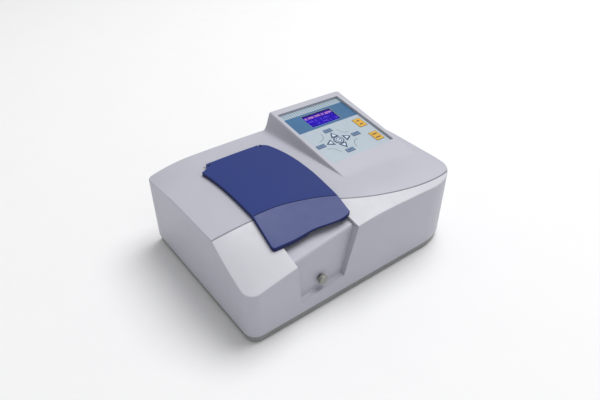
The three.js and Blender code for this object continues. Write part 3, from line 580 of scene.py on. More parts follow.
class Nodes:
    """Short way to lay out a shader's nodes."""

    def __init__(self, name):
        self.material = bpy.data.materials.new(name)
        self.material.use_nodes = True
        self.tree = self.material.node_tree
        self.shader = self.tree.nodes["Principled BSDF"]
        self.place = self.tree.nodes.new("ShaderNodeTexCoord").outputs["Object"]

    def link(self, output, target):
        self.tree.links.new(output, target)

    def new(self, kind, values):
        node = self.tree.nodes.new("ShaderNode" + kind)
        for name, value in values.items():
            node.inputs[name].default_value = value
        return node

    def feed(self, output, *names):
        """Links an output to the shader's own inputs."""
        for name in names:
            self.link(output, self.shader.inputs[name])

    def noise(self, scale, detail, stretch=None):
        node = self.new("TexNoise", {"Scale": scale, "Detail": detail})
        place = self.place
        if stretch:
            mapping = self.new("Mapping", {"Scale": stretch})
            self.link(place, mapping.inputs["Vector"])
            place = mapping.outputs["Vector"]
        self.link(place, node.inputs["Vector"])
        return node.outputs["Fac"]

    def ramp(self, value, low, high):
        node = self.new("ValToRGB", {})
        for end, position, colour in zip(node.color_ramp.elements, (0.35, 0.65), (low, high)):
            end.position = position
            end.color = colour
        self.link(value, node.inputs["Fac"])
        return node.outputs["Color"]

    def span(self, value, low, high):
        ends = {"From Min": 0.3, "From Max": 0.7, "To Min": low, "To Max": high}
        node = self.new("MapRange", ends)
        self.link(value, node.inputs["Value"])
        return node.outputs["Result"]

    def bump(self, height, strength):
        node = self.new("Bump", {"Strength": strength, "Distance": GRAIN_HEIGHT})
        self.link(height, node.inputs["Height"])
        self.feed(node.outputs["Normal"], "Normal")


def shaded(code, factor):
    red, green, blue, _ = srgb(code)
    return (red * factor, green * factor, blue * factor, 1.0)


def surface(name, code, roughness, variation, grain, relief=0.12, metal=0.0,
            gloss=0.05, specular=0.5, stretch=None):
    """A moulded, painted, printed or metal finish: colour drift, fine grain and uneven gloss."""
    nodes = Nodes(name)
    drift = nodes.noise(9, 4)
    nodes.feed(nodes.ramp(drift, shaded(code, 1 - variation), shaded(code, 1 + variation)), "Base Color")
    fine = nodes.noise(grain, 2, stretch)
    nodes.feed(nodes.span(nodes.noise(60, 3), roughness - gloss, roughness + gloss), "Roughness")
    nodes.bump(fine, relief)
    nodes.shader.inputs["Metallic"].default_value = metal
    nodes.shader.inputs["Specular IOR Level"].default_value = specular
    return nodes.material


def glowing(name, code, strength):
    """Backlit display film: its own colour, slightly uneven, with a little light of its own."""
    nodes = Nodes(name)
    colour = nodes.ramp(nodes.noise(40, 2), shaded(code, 0.9), shaded(code, 1.1))
    nodes.feed(colour, "Base Color", "Emission Color")
    nodes.shader.inputs["Emission Strength"].default_value = strength
    nodes.feed(nodes.span(nodes.noise(300, 2), 0.25, 0.35), "Roughness")
    nodes.shader.inputs["Specular IOR Level"].default_value = 0.06
    return nodes.material


def clear_pane(name, tint):
    """Thin clear sheet: lets what is under it show, and keeps a glossy reflection."""
    nodes = Nodes(name)
    nodes.feed(nodes.ramp(nodes.noise(20, 2), shaded(tint, 0.97), shaded(tint, 1.0)), "Base Color")
    nodes.feed(nodes.span(nodes.noise(200, 2), 0.04, 0.09), "Roughness")
    nodes.shader.inputs["Alpha"].default_value = 0.03
    return nodes.material


ALONG_Y, ALONG_X = (1, 14, 1), (12, 1, 1)  # noise stretched into brushed lines
INK_RELIEF = 0.08
INKS = {  # name, colour, roughness, variation, grain
    "film": ("overlay_film", "#b0bdc8", 0.35, 0.02, 1800),
    "teal": ("overlay_teal_ink", "#2a6490", 0.35, 0.05, 1800),
    "stripe": ("overlay_stripe_ink", "#7391a3", 0.35, 0.04, 1800),
    "ink": ("key_blue_ink", "#24466f", 0.38, 0.06, 1500),
    "ink_mid": ("key_mid_ink", "#6585a8", 0.38, 0.06, 1500),
    "ink_pale": ("key_pale_ink", "#d3e0ea", 0.38, 0.04, 1500),
    "line": ("overlay_line_ink", "#4c5663", 0.4, 0.06, 1500),
    "yellow": ("key_yellow_ink", "#dba81f", 0.38, 0.05, 1500),
    "yellow_rim": ("key_yellow_rim", "#8d7a22", 0.4, 0.08, 1500),
    "dark_ink": ("key_dark_ink", "#4a3810", 0.4, 0.1, 1500),
}
GLOWS = {  # name, colour, strength
    "screen": ("display_film", "#2100a8", 0.15),
    "screen_edge": ("display_edge", "#230a6e", 0.1),
    "screen_band": ("display_band", "#5a2aa8", 0.2),
    "screen_dots": ("display_dots", "#d9a0b4", 0.35),
    "screen_faint": ("display_faint_dots", "#5f45d8", 0.25),
}


def make_finishes():
    finishes = {
        "cover": surface("cover_plastic", "#b9bac5", 0.42, 0.02, 1400, 0.16),
        # The facet finish is the cover's plastic painted lighter: painted light on the faces ahead of the
        # groove that tilt towards the front.
        "facet_painted_light": surface("facet_painted_light_plastic", "#cbcbd3", 0.42, 0.02, 1400, 0.16),
        # The groove finish is the cover's plastic painted darker: painted shade down in the groove.
        "groove_painted_shade": surface("groove_painted_shade_plastic", "#84858f", 0.5, 0.03, 1400, 0.16),
        "pan": surface("pan_paint", "#8b8c8d", 0.5, 0.04, 1100, 0.25),
        "lid": surface("lid_plastic", "#152e77", 0.4, 0.02, 1500, 0.1, gloss=0.015, specular=0.4),
        # The seam finish is a darker lid blue: painted shade in the lid's seam and along its skirt.
        "lid_painted_shade": surface("lid_painted_shade_plastic", "#15215a", 0.5, 0.04, 1500, specular=0.3),
        "knob": surface("satin_knob", "#9a9a94", 0.5, 0.08, 400, metal=0.6, stretch=ALONG_Y),
        "black": surface("black_plastic", "#1d1e21", 0.6, 0.15, 800, 0.3),
        "steel": surface("turned_steel", "#b9babc", 0.3, 0.08, 400, metal=1.0, stretch=ALONG_Y),
        "alloy": surface("machined_alloy", "#a2a5a9", 0.42, 0.08, 300, metal=0.9, stretch=ALONG_X),
        "rubber": surface("foot_rubber", "#222223", 0.85, 0.15, 700, 0.5),
    }
    finishes |= {key: surface(*values, INK_RELIEF) for key, values in INKS.items()}
    finishes |= {key: glowing(*values) for key, values in GLOWS.items()}
    finishes["glass"] = clear_pane("window_pane", "#404a78")
    finishes["board"] = surface("circuit_board", "#1f6b45", 0.5, 0.1, 500)
    return finishes


# ---- camera, light and floor

CAMERA_PLACE = (-0.4770, -0.6073, 0.6243)
CAMERA_DOWN, CAMERA_HEADING = 34.87, -37.44  # degrees
CAMERA_LENS, CAMERA_SENSOR = 30.29, 36
LAMP_PLACE, LAMP_TARGET = (2.4, 0.3, 5.4), (0, 0, 0.1)
LAMP_SIZE, LAMP_POWER = 4.2, 240
SKY_STRENGTH = 0.48
FLOOR_HALF, FLOOR_STEP = 4000, 400


def make_camera():
    camera = linked("camera", bpy.data.cameras.new("camera"))
    camera.location = CAMERA_PLACE
    camera.rotation_euler = (math.radians(90 - CAMERA_DOWN), 0, math.radians(CAMERA_HEADING))
    camera.data.lens = CAMERA_LENS
    camera.data.sensor_width = CAMERA_SENSOR
    camera.data.clip_start = 0.01
    bpy.context.scene.camera = camera


def make_light():
    light = linked("top_light", bpy.data.lights.new("top_light", "AREA"))
    light.location = LAMP_PLACE
    towards = Vector(LAMP_TARGET) - Vector(LAMP_PLACE)
    light.rotation_euler = towards.to_track_quat("-Z", "Y").to_euler()
    light.data.shape = "DISK"
    light.data.size = LAMP_SIZE
    light.data.energy = LAMP_POWER


def make_sky():
    scene = bpy.context.scene
    scene.view_settings.view_transform = "Standard"
    world = bpy.data.worlds.new("studio")
    world.use_nodes = True
    sky = world.node_tree.nodes["Background"].inputs
    sky["Color"].default_value = (1.0, 1.0, 1.0, 1)
    sky["Strength"].default_value = SKY_STRENGTH
    scene.world = world


def make_floor():
    steps = stops(-FLOOR_HALF, FLOOR_HALF, FLOOR_STEP)
    count = len(steps)
    points = [(x * MM, y * MM, 0) for x in steps for y in steps]
    corners = [i * count + j for i in range(count - 1) for j in range(count - 1)]
    mesh = bpy.data.meshes.new("floor")
    mesh.from_pydata(points, [], [(k, k + count, k + count + 1, k + 1) for k in corners])
    mesh.materials.append(surface("studio_floor", "#f6f6f7", 0.8, 0.004, 300, 0.05))
    linked("floor", mesh)


make_camera()
make_sky()
make_light()
make_floor()
FINISH = make_finishes()

# ---- main cover

REAR_X0, REAR_X1, REAR_Z0, REAR_Z1 = -196, 190, 24, 138
REAR_CORNER = 4.0
TUCK = 1  # how far the turned-in walls reach under or behind the recess's panel
# Share of the groove's half-width painted darker as shade, and depth of the top's skin ahead of the groove
# painted lighter as light.
GROOVE_PAINTED_SHADE_SHARE, FACET_PAINTED_LIGHT_SKIN = 0.6, 0.8
CONSOLE_WALL_LINES = range(-5, 9)  # mesh lines along the console's right wall, by their offset
TROUGH_X0, TROUGH_X1, TROUGH_Y0, TROUGH_Y1, TROUGH_Z = -143, -19, 103.5, 121.5, 152.2


def recess_tip(x):
    """Where the recess's side meets the rounded edge of the top, as (x, z)."""
    return (x, cover_top(x, FRONT_Y) - EDGE_RADIUS - EDGE_SUPPORT)


def recess_side(z, left):
    """X of the recess's left or right edge at a height."""
    tip_x, low = (BAY_X0, RECESS_LOW_LEFT) if left else (BAY_X1, RECESS_LOW_RIGHT)
    t = clamp01((z - low[1]) / (recess_tip(tip_x)[1] - low[1]))
    return low[0] + (tip_x - low[0]) * t


def recess_floor(x):
    """Height of the recess's lower edge on the front wall."""
    (ax, az), (bx, bz) = RECESS_LOW_LEFT, RECESS_LOW_RIGHT
    return az + (bz - az) * clamp01((x - ax) / (bx - ax))


def recess_edge():
    """The recess's edge on the front wall from the right tip, down and round to the left tip."""
    corners = [recess_tip(BAY_X1), RECESS_LOW_RIGHT, RECESS_LOW_LEFT, recess_tip(BAY_X0)]
    edge = []
    for (ax, az), (bx, bz) in zip(corners, corners[1:]):
        count = math.ceil(math.dist((ax, az), (bx, bz)) / MESH_STEP)
        edge += [(ax + (bx - ax) * k / count, az + (bz - az) * k / count) for k in range(count)]
    return edge + [corners[-1]]


def panel_y(z):
    """The recessed panel leans back towards its top."""
    foot, head = RECESS_LOW_LEFT[1], deck_z(BAY_X1, PANEL_HEAD_Y)
    return PANEL_FOOT_Y + (PANEL_HEAD_Y - PANEL_FOOT_Y) * clamp01((z - foot) / (head - foot))


def rear_wall_spans(x):
    """Heights at which the back wall's sheet starts and stops above and below the rear opening."""
    into = min(x - REAR_X0, REAR_X1 - x)
    if into < 0:
        middle = (REAR_Z0 + REAR_Z1) / 2
        return middle, middle
    dip = REAR_CORNER - math.sqrt(max(0.0, REAR_CORNER ** 2 - max(0.0, REAR_CORNER - into) ** 2))
    return REAR_Z1 - dip, REAR_Z0 + dip


def cover_finish(shape, face):
    """0 plain, 1 painted lighter on the top ahead of the groove (painted light), 2 painted darker down in
    the groove (painted shade).
    """
    x, y, z = (sum(shape.vertices[i][axis] for i in face) / len(face) for axis in range(3))
    if z < body_top(x, y) - GROOVE_DEPTH:
        return 0
    if abs(groove_offset(x, y)) < GROOVE_HALF_WIDTH * GROOVE_PAINTED_SHADE_SHARE:
        return 2
    return 1 if y < groove_y(x) and z > body_top(x, y) - FACET_PAINTED_LIGHT_SKIN else 0


def add_outer_walls(shape, rim, edge):
    """Walls below the rounded edge, open at the back where the rear panel sits."""
    for i in range(len(rim) - 1):
        a, b = edge[i], edge[i + 1]
        upper = [a, b]
        if rim[i][3] == 1 and rim[i + 1][3] == 1:
            (top_a, low_a), (top_b, low_b) = rear_wall_spans(a[0]), rear_wall_spans(b[0])
            shape.strip(upper, [(a[0], a[1], top_a), (b[0], b[1], top_b)], closed=False)
            upper = [(a[0], a[1], low_a), (b[0], b[1], low_b)]
        shape.strip(upper, at_height(upper, COVER_BOTTOM_Z), closed=False)


def add_inner_walls(shape, rings):
    """Front wall below the recess, and the turned-in walls of the recess and the bay.

    Returns the bay's edge on the top, from the front left round the back to the front right.
    """
    edge = recess_edge()
    below = [(x, FRONT_Y, z) for x, z in reversed(edge)]
    shape.strip(below, at_height(below, COVER_BOTTOM_Z), closed=False)

    front = FRONT_Y + EDGE_RADIUS + EDGE_SUPPORT
    path = [(BAY_X0, y) for y in stops(front, BAY_Y1, 5, [groove_y(BAY_X0)])]
    path += [(x, BAY_Y1) for x in stops(BAY_X0, BAY_X1, MESH_STEP)[1:-1]]
    path += [(BAY_X1, y) for y in stops(BAY_Y1, front, 5, [groove_y(BAY_X1)])]
    bay_edge = [(x, y, cover_top(x, y)) for x, y in path]
    down = []
    for x, y, z in bay_edge:
        ahead = y < BAY_Y0
        under = deck_z(x, y) - TUCK if ahead else z - WALL - TUCK
        down.append((x, max(y, PANEL_HEAD_Y + TUCK) if ahead else y, min(under, z - WALL - 0.2)))
    shape.strip(bay_edge, down, closed=False)

    front_path = [ring[0] for ring in rings[1:]] + [(x, FRONT_Y, z) for x, z in edge[1:-1]]
    front_path += [ring[-1] for ring in rings[:0:-1]]
    inner = []
    for x, y, z in front_path:
        if min(abs(x - BAY_X1), abs(x - BAY_X0)) < 0.01:
            inner.append((x, PANEL_HEAD_Y + TUCK, deck_z(x, PANEL_HEAD_Y) - TUCK))
        else:
            lift = LEDGE_RISE if z < recess_floor(x) + 0.5 else 0
            inner.append((x, panel_y(z) + TUCK, z + lift))
    outer_path = [bay_edge[-1]] + front_path + [bay_edge[0]]
    shape.strip(outer_path, [down[-1]] + inner + [down[0]], closed=False)
    return bay_edge


def add_hinge_trough(shape):
    """Trough for the lid's hinge, with its floor. Returns its edge on the top."""
    outline = rectangle(TROUGH_X0, TROUGH_X1, TROUGH_Y0, TROUGH_Y1, 1.5, True)
    trough = with_normals(filled_in(outline, 8))
    rings = edge_rings(trough, lambda x, y: 0.5, cover_top) + [at_height(trough, TROUGH_Z)]
    shape.rings(rings)
    shape.cap(rings[-1], up=False)
    return plan_of(rings[0])


def add_keypad_opening(shape):
    """Opening in the console for the keypad. Returns its edge on the top."""
    outline = rectangle(PANEL_X0, PANEL_X1, PANEL_V0, PANEL_V1, 2.0, True)
    panel = with_normals(filled_in(outline, 10))
    rings = []
    for back, drop in edge_profile(0.5, 0.4):
        rings.append([on_console(x - nx * back, v - nv * back, -drop) for x, v, nx, nv in panel])
    rings.append([on_console(x, v, OVERLAY_LOW_W) for x, v, _, _ in panel])
    shape.rings(rings)
    return plan_of(rings[0])


def groove_creases(runs, half_width, outline):
    """Mesh lines along the groove, over each run of x, as far as they lie in the outline."""
    creases = []
    for share in GROOVE_LINES:
        for xs in runs:
            line = groove_line(xs, share * half_width)
            keep = inside(np.array(line), outline)
            creases.append([p for p, k in zip(line, keep) if k])
    return creases


def add_cover_top(shape, outer, holes):
    runs = [stops(-228, BAY_X0 - 1.5, GROOVE_STEP), stops(BAY_X1 + 1.5, 226, GROOVE_STEP)]
    creases = groove_creases(runs, GROOVE_HALF_WIDTH, outer)
    for offset in CONSOLE_WALL_LINES:
        ys = stops(CONSOLE_FRONT_Y - 8, BACK_Y - BACK_RIGHT_R, 2.5)
        creases.append([(console_right(y) + offset, y) for y in ys])
    columns = stops(-226, 16, MESH_STEP) + stops(18, 44, 0.8)
    columns += stops(46, 202, MESH_STEP) + stops(206, 228, 1.4)
    flat, triangles, _ = plan_mesh(outer, holes, creases, columns, stops(-156, 168, MESH_STEP))
    shape.add([(x, y, cover_top(x, y)) for x, y in flat], triangles)


def make_main_cover():
    shape = Shape()
    rim = body_rim(BAY_X1, BAY_X0)
    rings = edge_rings(rim, lambda x, y: EDGE_RADIUS, cover_top)
    shape.rings(rings, closed=False)
    add_outer_walls(shape, rim, rings[-1])
    bay_edge = add_inner_walls(shape, rings)
    holes = [add_hinge_trough(shape), add_keypad_opening(shape)]
    add_cover_top(shape, plan_of(rings[0]) + plan_of(bay_edge[1:-1]), holes)
    # Finishes: plain cover, painted light ahead of the groove, painted shade in the groove.
    shape.finishes = [cover_finish(shape, face) for face in shape.faces]
    make_piece("cover_shell", shape, "chassis", ["cover", "facet_painted_light", "groove_painted_shade"],
               replaces=["main_cover"], solid=WALL, sharp=SHARP_SHELL)


make_main_cover()


# ---- base pan and feet

def closed_outline(inset):
    """The whole body outline, set in by a distance."""
    rim = body_rim(BAY_X1, BAY_X0)
    rim += [(x, FRONT_Y, 0, -1) for x in stops(BAY_X0, BAY_X1, MESH_STEP)[1:-1]]
    return [(x - nx * inset, y - ny * inset) for x, y, nx, ny in rim]


def make_base_pan():
    low, high = node_box("base_pan")
    floor_z = low.z + 2.5
    section = [
        (4.0, floor_z), (4.0, high.z - 0.5), (3.7, high.z), (2.4, high.z), (2.0, high.z - 0.5),
        (2.0, low.z + 0.9), (2.15, low.z + 0.35), (2.6, low.z + 0.05), (3.4, low.z),
    ]
    shape = Shape()
    rings = [at_height(closed_outline(inset), z) for inset, z in section]
    shape.rings(rings)
    shape.cap(rings[0], up=True)
    shape.cap(rings[-1], up=False)
    make_piece("base_tray", shape, "chassis", ["pan"], replaces=["base_pan"])


def lathe(shape, profile, centre, axis, segments):
    """Turned solid: profile is (position along the axis, radius), closed at both ends on the axis."""
    rings = []
    for along, radius in profile:
        ring = []
        for k in range(segments):
            t = 2 * math.pi * k / segments
            point = [centre[0] + radius * math.cos(t), centre[1] + radius * math.sin(t)]
            point.insert("xyz".index(axis), along)
            ring.append(point)
        rings.append(ring)
    shape.rings(rings)
    shape.cap(rings[0])
    shape.cap(rings[-1], up=False)


def turned(name, node, axis, body, finish, profile_of, segments=48):
    """A turned piece that replaces a CAD node, on the node's own axis and length."""
    low, high = node_box(node)
    along = "xyz".index(axis)
    across = 2 if axis == "x" else 0
    profile = profile_of(low[along], high[along], (high[across] - low[across]) / 2)
    centre = [value for i, value in enumerate((low + high) / 2) if i != along]
    shape = Shape()
    lathe(shape, profile, centre, axis, segments)
    make_piece(name, shape, body, [finish], replaces=[node])


def chamfered(width):
    def profile(start, end, radius):
        return [
            (start, 0), (start, radius - width), (start + width * 0.3, radius - width * 0.3),
            (start + width, radius), (end - width, radius),
            (end - width * 0.3, radius - width * 0.3), (end, radius - width), (end, 0),
        ]
    return profile


def pin_profile(start, end, radius):
    """The pin ends inside its two ears."""
    return chamfered(0.3)(start + 1.7, end - 1.7, radius)


def foot_profile(low, high, radius):
    return [
        (high, 0), (high, radius), (low + 1.0, radius), (low + 0.3, radius - 0.35),
        (low, radius - 1.1), (low, radius - 3.2), (low + 0.7, radius - 3.8), (low + 0.7, 0),
    ]


def make_feet():
    for place in ("front_left", "front_right", "rear_left", "rear_right"):
        turned(f"rubber_foot_{place}", f"foot_{place}", "z", "chassis", "rubber", foot_profile)


make_base_pan()
make_feet()


# ---- recess, rod and knob

ROD_X, ROD_Z, ROD_HOLE_R = -91, 61, 5.2
PANEL_ROWS = 14


def bezier(points, count):
    """Points along a quadratic or cubic curve, its last one left out."""
    result = []
    for k in range(count):
        t = k / count
        level = [Vector(p) for p in points]
        while len(level) > 1:
            level = [a.lerp(b, t) for a, b in zip(level, level[1:])]
        result.append(tuple(level[0]))
    return result


def recess_point(share, y, z):
    """Point of the recessed panel, a share of the way from its left edge to its right one."""
    left = recess_side(z, True) + RECESS_GAP
    right = recess_side(z, False) - RECESS_GAP
    return (left + (right - left) * share, y, z)


def panel_column(share):
    """The recessed panel's line from the ledge up the wall, over the lip and back along the deck."""
    middle_x = BAY_X0 + (BAY_X1 - BAY_X0) * share
    ledge_z = recess_floor(RECESS_LOW_LEFT[0] + (RECESS_LOW_RIGHT[0] - RECESS_LOW_LEFT[0]) * share)
    foot_y, foot_z = PANEL_FOOT_Y, ledge_z + LEDGE_RISE
    lip_y, lip_z = PANEL_HEAD_Y, deck_z(middle_x, PANEL_HEAD_Y)
    line = [(FRONT_Y + 0.4, ledge_z + 0.1)]
    line += bezier([(foot_y - 4, foot_z - 1.6), (foot_y, foot_z), (foot_y + 0.2, foot_z + 4)], 5)
    for k in range(PANEL_ROWS + 1):
        z = foot_z + 4 + (lip_z - 3 - foot_z - 4) * (k / PANEL_ROWS)
        line.append((foot_y + (lip_y - foot_y) * (z - foot_z) / (lip_z - foot_z), z))
    over_lip = [(lip_y, lip_z - 3), (lip_y, lip_z), (lip_y + 3, deck_z(middle_x, lip_y + 3))]
    line += bezier(over_lip, 5)[1:]
    end_y = BAY_Y0 - 2.3
    end_z = deck_z(middle_x, end_y)
    line += [(y, deck_z(middle_x, y)) for y in stops(lip_y + 3, end_y - 1, 5)]
    line += [(end_y - 0.2, end_z - 0.3), (end_y, end_z - 1.2), (end_y, end_z - 6)]
    return [recess_point(share, y, z) for y, z in line]


def make_bay_front():
    shape = Shape()
    shares = [0, 0.004, 0.01, 0.02] + [k / 24 for k in range(1, 24)] + [0.98, 0.99, 0.996, 1]
    columns = [panel_column(share) for share in shares]
    for a, b in zip(columns, columns[1:]):
        shape.strip(b, a, closed=False)
    piece = make_piece("sample_bay_surround", shape, "chassis", ["cover"],
                       replaces=["bay_front_panel"], solid=2.0, sharp=SHARP_SHELL)
    bore(piece, ROD_X, ROD_Z, ROD_HOLE_R, FRONT_Y - 5, PANEL_FOOT_Y + 8)


def bore(piece, x, z, radius, y0, y1):
    """Cuts a round hole along Y through a piece."""
    shape = Shape()
    lathe(shape, [(y0, 0), (y0, radius), (y1, radius), (y1, 0)], (x, z), "y", 40)
    cutter = welded("cutter", shape)
    hole = piece.modifiers.new("hole", "BOOLEAN")
    hole.operation = "DIFFERENCE"
    hole.solver = "EXACT"
    hole.object = cutter
    apply_modifiers(piece)
    bpy.data.objects.remove(cutter)
    piece.data.set_sharp_from_angle(angle=math.radians(SHARP_SHELL))


def knob_profile(tip, base, radius):
    """Short disc with a shallow dished face, a rounded rim and a relief behind it."""
    return [
        (tip + 0.5, 0), (tip + 0.4, 2.0), (tip + 0.15, radius - 2.2), (tip, radius - 1.4),
        (tip, radius - 0.8), (tip + 0.25, radius - 0.25), (tip + 0.8, radius), (base - 1.6, radius),
        (base - 0.9, radius - 0.2), (base - 0.3, radius - 0.8), (base, radius - 1.8), (base, 0),
    ]


def make_rod_and_knob():
    turned("pull_knob_turned", "pull_knob", "y", "carriage", "knob", knob_profile, 64)
    turned("pull_rod_turned", "pull_rod", "y", "carriage", "steel", chamfered(0.4))
    for side in ("left", "right"):
        turned(f"rail_{side}_turned", f"carriage_rail_{side}", "y", "chassis", "steel", chamfered(0.3))
    turned("hinge_pin_turned", "hinge_pin", "x", "chassis", "steel", pin_profile)


make_bay_front()
make_rod_and_knob()


# ---- lid

HINGE_SLOTS = ((-137.8, -134.2), (-27.8, -24.2))
HINGE_SLOT_Y = 109
SCOOP_Y, SCOOP_RISE = -119, 3.6
SCOOP_LEFT, SCOOP_RIGHT = (-101, -92), (-45, -35)  # where it rises and where it falls


def lid_outline():
    """Plan of the lid, anticlockwise from the front-left corner."""
    (left_a, left_b), (right_a, right_b) = HINGE_SLOTS
    line = bezier([(-159.6, -117), (-159.2, -122.2), (-152, -122.5)], 5)
    line += bezier([(-152, -122.5), (-127, -125.6)], 4)
    line += bezier([(-127, -125.6), (-106, -127), (-92, -125.6), (-78, -128.8)], 8)
    line += bezier([(-78, -128.8), (-62, -132.6), (-50, -136.8), (-36, -137)], 7)
    line += bezier([(-36, -137), (-24, -137), (-17.9, -133)], 6)
    line += bezier([(-17.9, -133), (-11.8, -85), (0.8, -40), (1.2, 13)], 24)
    line += bezier([(1.2, 13), (3.6, 58), (-9.9, 102)], 14)
    line += bezier([(-9.9, 102), (-12, 109), (-20, 114.4)], 6)
    line += [(-20, 114.4), (right_b, 118), (right_b, HINGE_SLOT_Y), (right_a, HINGE_SLOT_Y)]
    line += bezier([(right_a, 118.1), (-80, 119.6), (left_b, 118)], 12)
    line += [(left_b, 118), (left_b, HINGE_SLOT_Y), (left_a, HINGE_SLOT_Y), (left_a, 113.6)]
    line += [(-139.2, 112.2), (-144.2, 103.8), (-150, 101.4)]
    line += bezier([(-155.5, 99), (-156.8, 98.5), (-156.6, 96.5)], 3)
    line += bezier([(-156.6, 96.5), (-149.5, 45), (-149.8, -2), (-159.6, -117)], 28)
    return line


def in_slot(x, y):
    """True near the hinge slots, where the lid's edge is nearly sharp."""
    return y > HINGE_SLOT_Y - 1 and any(a - 1 < x < b + 1 for a, b in HINGE_SLOTS)


def scoop_lift(x, y):
    """How far the front skirt is cut up for the fingers."""
    if y > SCOOP_Y:
        return 0.0
    return SCOOP_RISE * smooth_step(*SCOOP_LEFT, x) * (1 - smooth_step(*SCOOP_RIGHT, x))


def lid_edge_radius(x, y):
    return 0.3 if in_slot(x, y) else LID_EDGE_RADIUS


def make_lid():
    shape = Shape()
    samples = with_normals(lid_outline())
    rings = edge_rings(samples, lid_edge_radius, lid_top)
    lower = [(x, y, body_top(x, y) + LID_RISE - LID_SKIRT + scoop_lift(x, y)) for x, y, _, _ in samples]
    shape.rings(rings[:4])
    # The skirt gets the darker lid blue: painted shade.
    shape.rings(rings[3:] + [lower], finish=1)
    outer = plan_of(rings[0])
    creases = groove_creases([stops(-157, -9, GROOVE_STEP)], LID_SEAM_HALF_WIDTH, outer)
    flat, triangles, _ = plan_mesh(outer, [], creases, stops(-156, 4, 5), stops(-136, 114, 5))
    shape.add([(x, y, lid_top(x, y)) for x, y in flat], triangles)
    # Faces down in the seam get the darker lid blue too: painted shade.
    for i, face in enumerate(shape.faces):
        corners = [shape.vertices[k] for k in face]
        if all(abs(groove_offset(x, y)) < LID_SEAM_HALF_WIDTH * 1.05 for x, y, _ in corners):
            shape.finishes[i] = 1
    make_piece("lid_cover", shape, "lid", ["lid", "lid_painted_shade"], replaces=["lid"],
               solid=LID_WALL, sharp=SHARP_SHELL)


make_lid()

# ---- console panel, keys and display

def circle(x, v, radius, count=44):
    turns = [2 * math.pi * k / count for k in range(count)]
    return [(x + radius * math.cos(t), v + radius * math.sin(t)) for t in turns]


def around(x, v, width, height, radius=0.0):
    """Rectangle about a centre."""
    return rectangle(x - width / 2, x + width / 2, v - height / 2, v + height / 2, radius)


def triangle(x, v, direction, reach, radius=0.0):
    """Triangle whose first corner points in the direction, in degrees; reach is centre to corner."""
    turns = [math.radians(direction + 120 * k) for k in range(3)]
    corners = [(x + reach * math.cos(t), v + reach * math.sin(t)) for t in turns]
    return rounded(corners, radius) if radius else corners


def grown(outline, distance):
    return [(x + nx * distance, v + nv * distance) for x, v, nx, nv in with_normals(outline)]


def ribbon(points, width):
    """Outline of a thin line drawn along a curve through three points."""
    line = bezier(points, 8) + [points[-1]]
    sides = [[], []]
    for i, (x, v) in enumerate(line):
        before, after = line[max(0, i - 1)], line[min(len(line) - 1, i + 1)]
        along = Vector((after[0] - before[0], after[1] - before[1])).normalized()
        for side, sign in zip(sides, (1, -1)):
            side.append((x + sign * along.y * width / 2, v - sign * along.x * width / 2))
    return sides[0] + sides[1][::-1]


def plate(name, node, body, finishes, outline, top_w, low_w, holes=(), prints=(), edge=0.2):
    """Flat plate in the console's plane.

    Each print is (outline, index of its finish), and later ones lie over earlier ones.
    """
    shape = Shape()
    tops, lows = [], []
    for line in [outline] + [h[::-1] for h in holes]:
        samples = with_normals(line)
        rings = []
        for back, drop in edge_profile(edge, edge):
            rings.append([(x - nx * back, v - nv * back, top_w - drop) for x, v, nx, nv in samples])
        rings.append(at_height(samples, low_w))
        shape.rings([[on_console(*p) for p in ring] for ring in rings])
        tops.append(plan_of(rings[0]))
        lows.append(plan_of(rings[-1]))
    borders = [line + line[:1] for line, _ in prints]
    flat, triangles, centres = plan_mesh(tops[0], tops[1:], borders, [], [])
    chosen = np.zeros(len(triangles), int)
    for line, index in prints:
        chosen[inside(centres, line)] = index
    points = [on_console(x, v, top_w) for x, v in flat]
    for index in sorted(set(chosen)):
        shape.add(points, [t for t, k in zip(triangles, chosen) if k == index], int(index))
    flat, triangles, _ = plan_mesh(lows[0], lows[1:], [], [], [])
    shape.add([on_console(x, v, low_w) for x, v in flat], [t[::-1] for t in triangles])
    make_piece(name, shape, body, finishes, [node] if node else [], sharp=SHARP_PLATE)


ARROW_KEYS = {
    "key_up": (KEYPAD_X, KEYPAD_V + 16, 90),
    "key_down": (KEYPAD_X, KEYPAD_V - 16, -90),
    "key_left": (KEYPAD_X - 20, KEYPAD_V, 180),
    "key_right": (KEYPAD_X + 20, KEYPAD_V, 0),
}
FUNCTION_KEYS = {
    "key_function_top": (KEYPAD_X, 73),
    "key_function_bottom": (KEYPAD_X, 4.5),
    "key_function_left": (64, KEYPAD_V),
    "key_function_right": (152, KEYPAD_V),
}
RUN_KEYS = {"key_start": (185, 64, 8), "key_stop": (185, 14, 12)}
ENTER_R = 10.5
ARROW_REACH = 10
FUNCTION_SIZE = (19, 9.6)
RUN_SIZE = (20, 27)
BRACKETS = [
    [(89, 71), (89, 53), (68, 51)],
    [(127, 69), (128, 51), (144.5, 51)],
    [(69, 26), (84, 26), (88.5, 6)],
    [(145, 25), (128, 25), (126, 5)],
]
TEAL_V0, TEAL_V1, STRIPE_V1 = 88.8, 141.5, 157
STRIPE_PITCH = 5.8
STRIPE_LOW, STRIPE_HIGH = 1.1, 1.3  # half-widths at its ends
BRACKET_WIDTH = 0.95
FILM_GAP, KEY_GAP = 0.45, 0.35


def key_outlines():
    outlines = {"key_enter": circle(KEYPAD_X, KEYPAD_V, ENTER_R)}
    for node, (x, v, direction) in ARROW_KEYS.items():
        outlines[node] = triangle(x, v, direction, ARROW_REACH, 0.4)
    for node, (x, v) in FUNCTION_KEYS.items():
        outlines[node] = around(x, v, *FUNCTION_SIZE, 0.8)
    for node, (x, v, _) in RUN_KEYS.items():
        outlines[node] = around(x, v, *RUN_SIZE, 0.8)
    return outlines


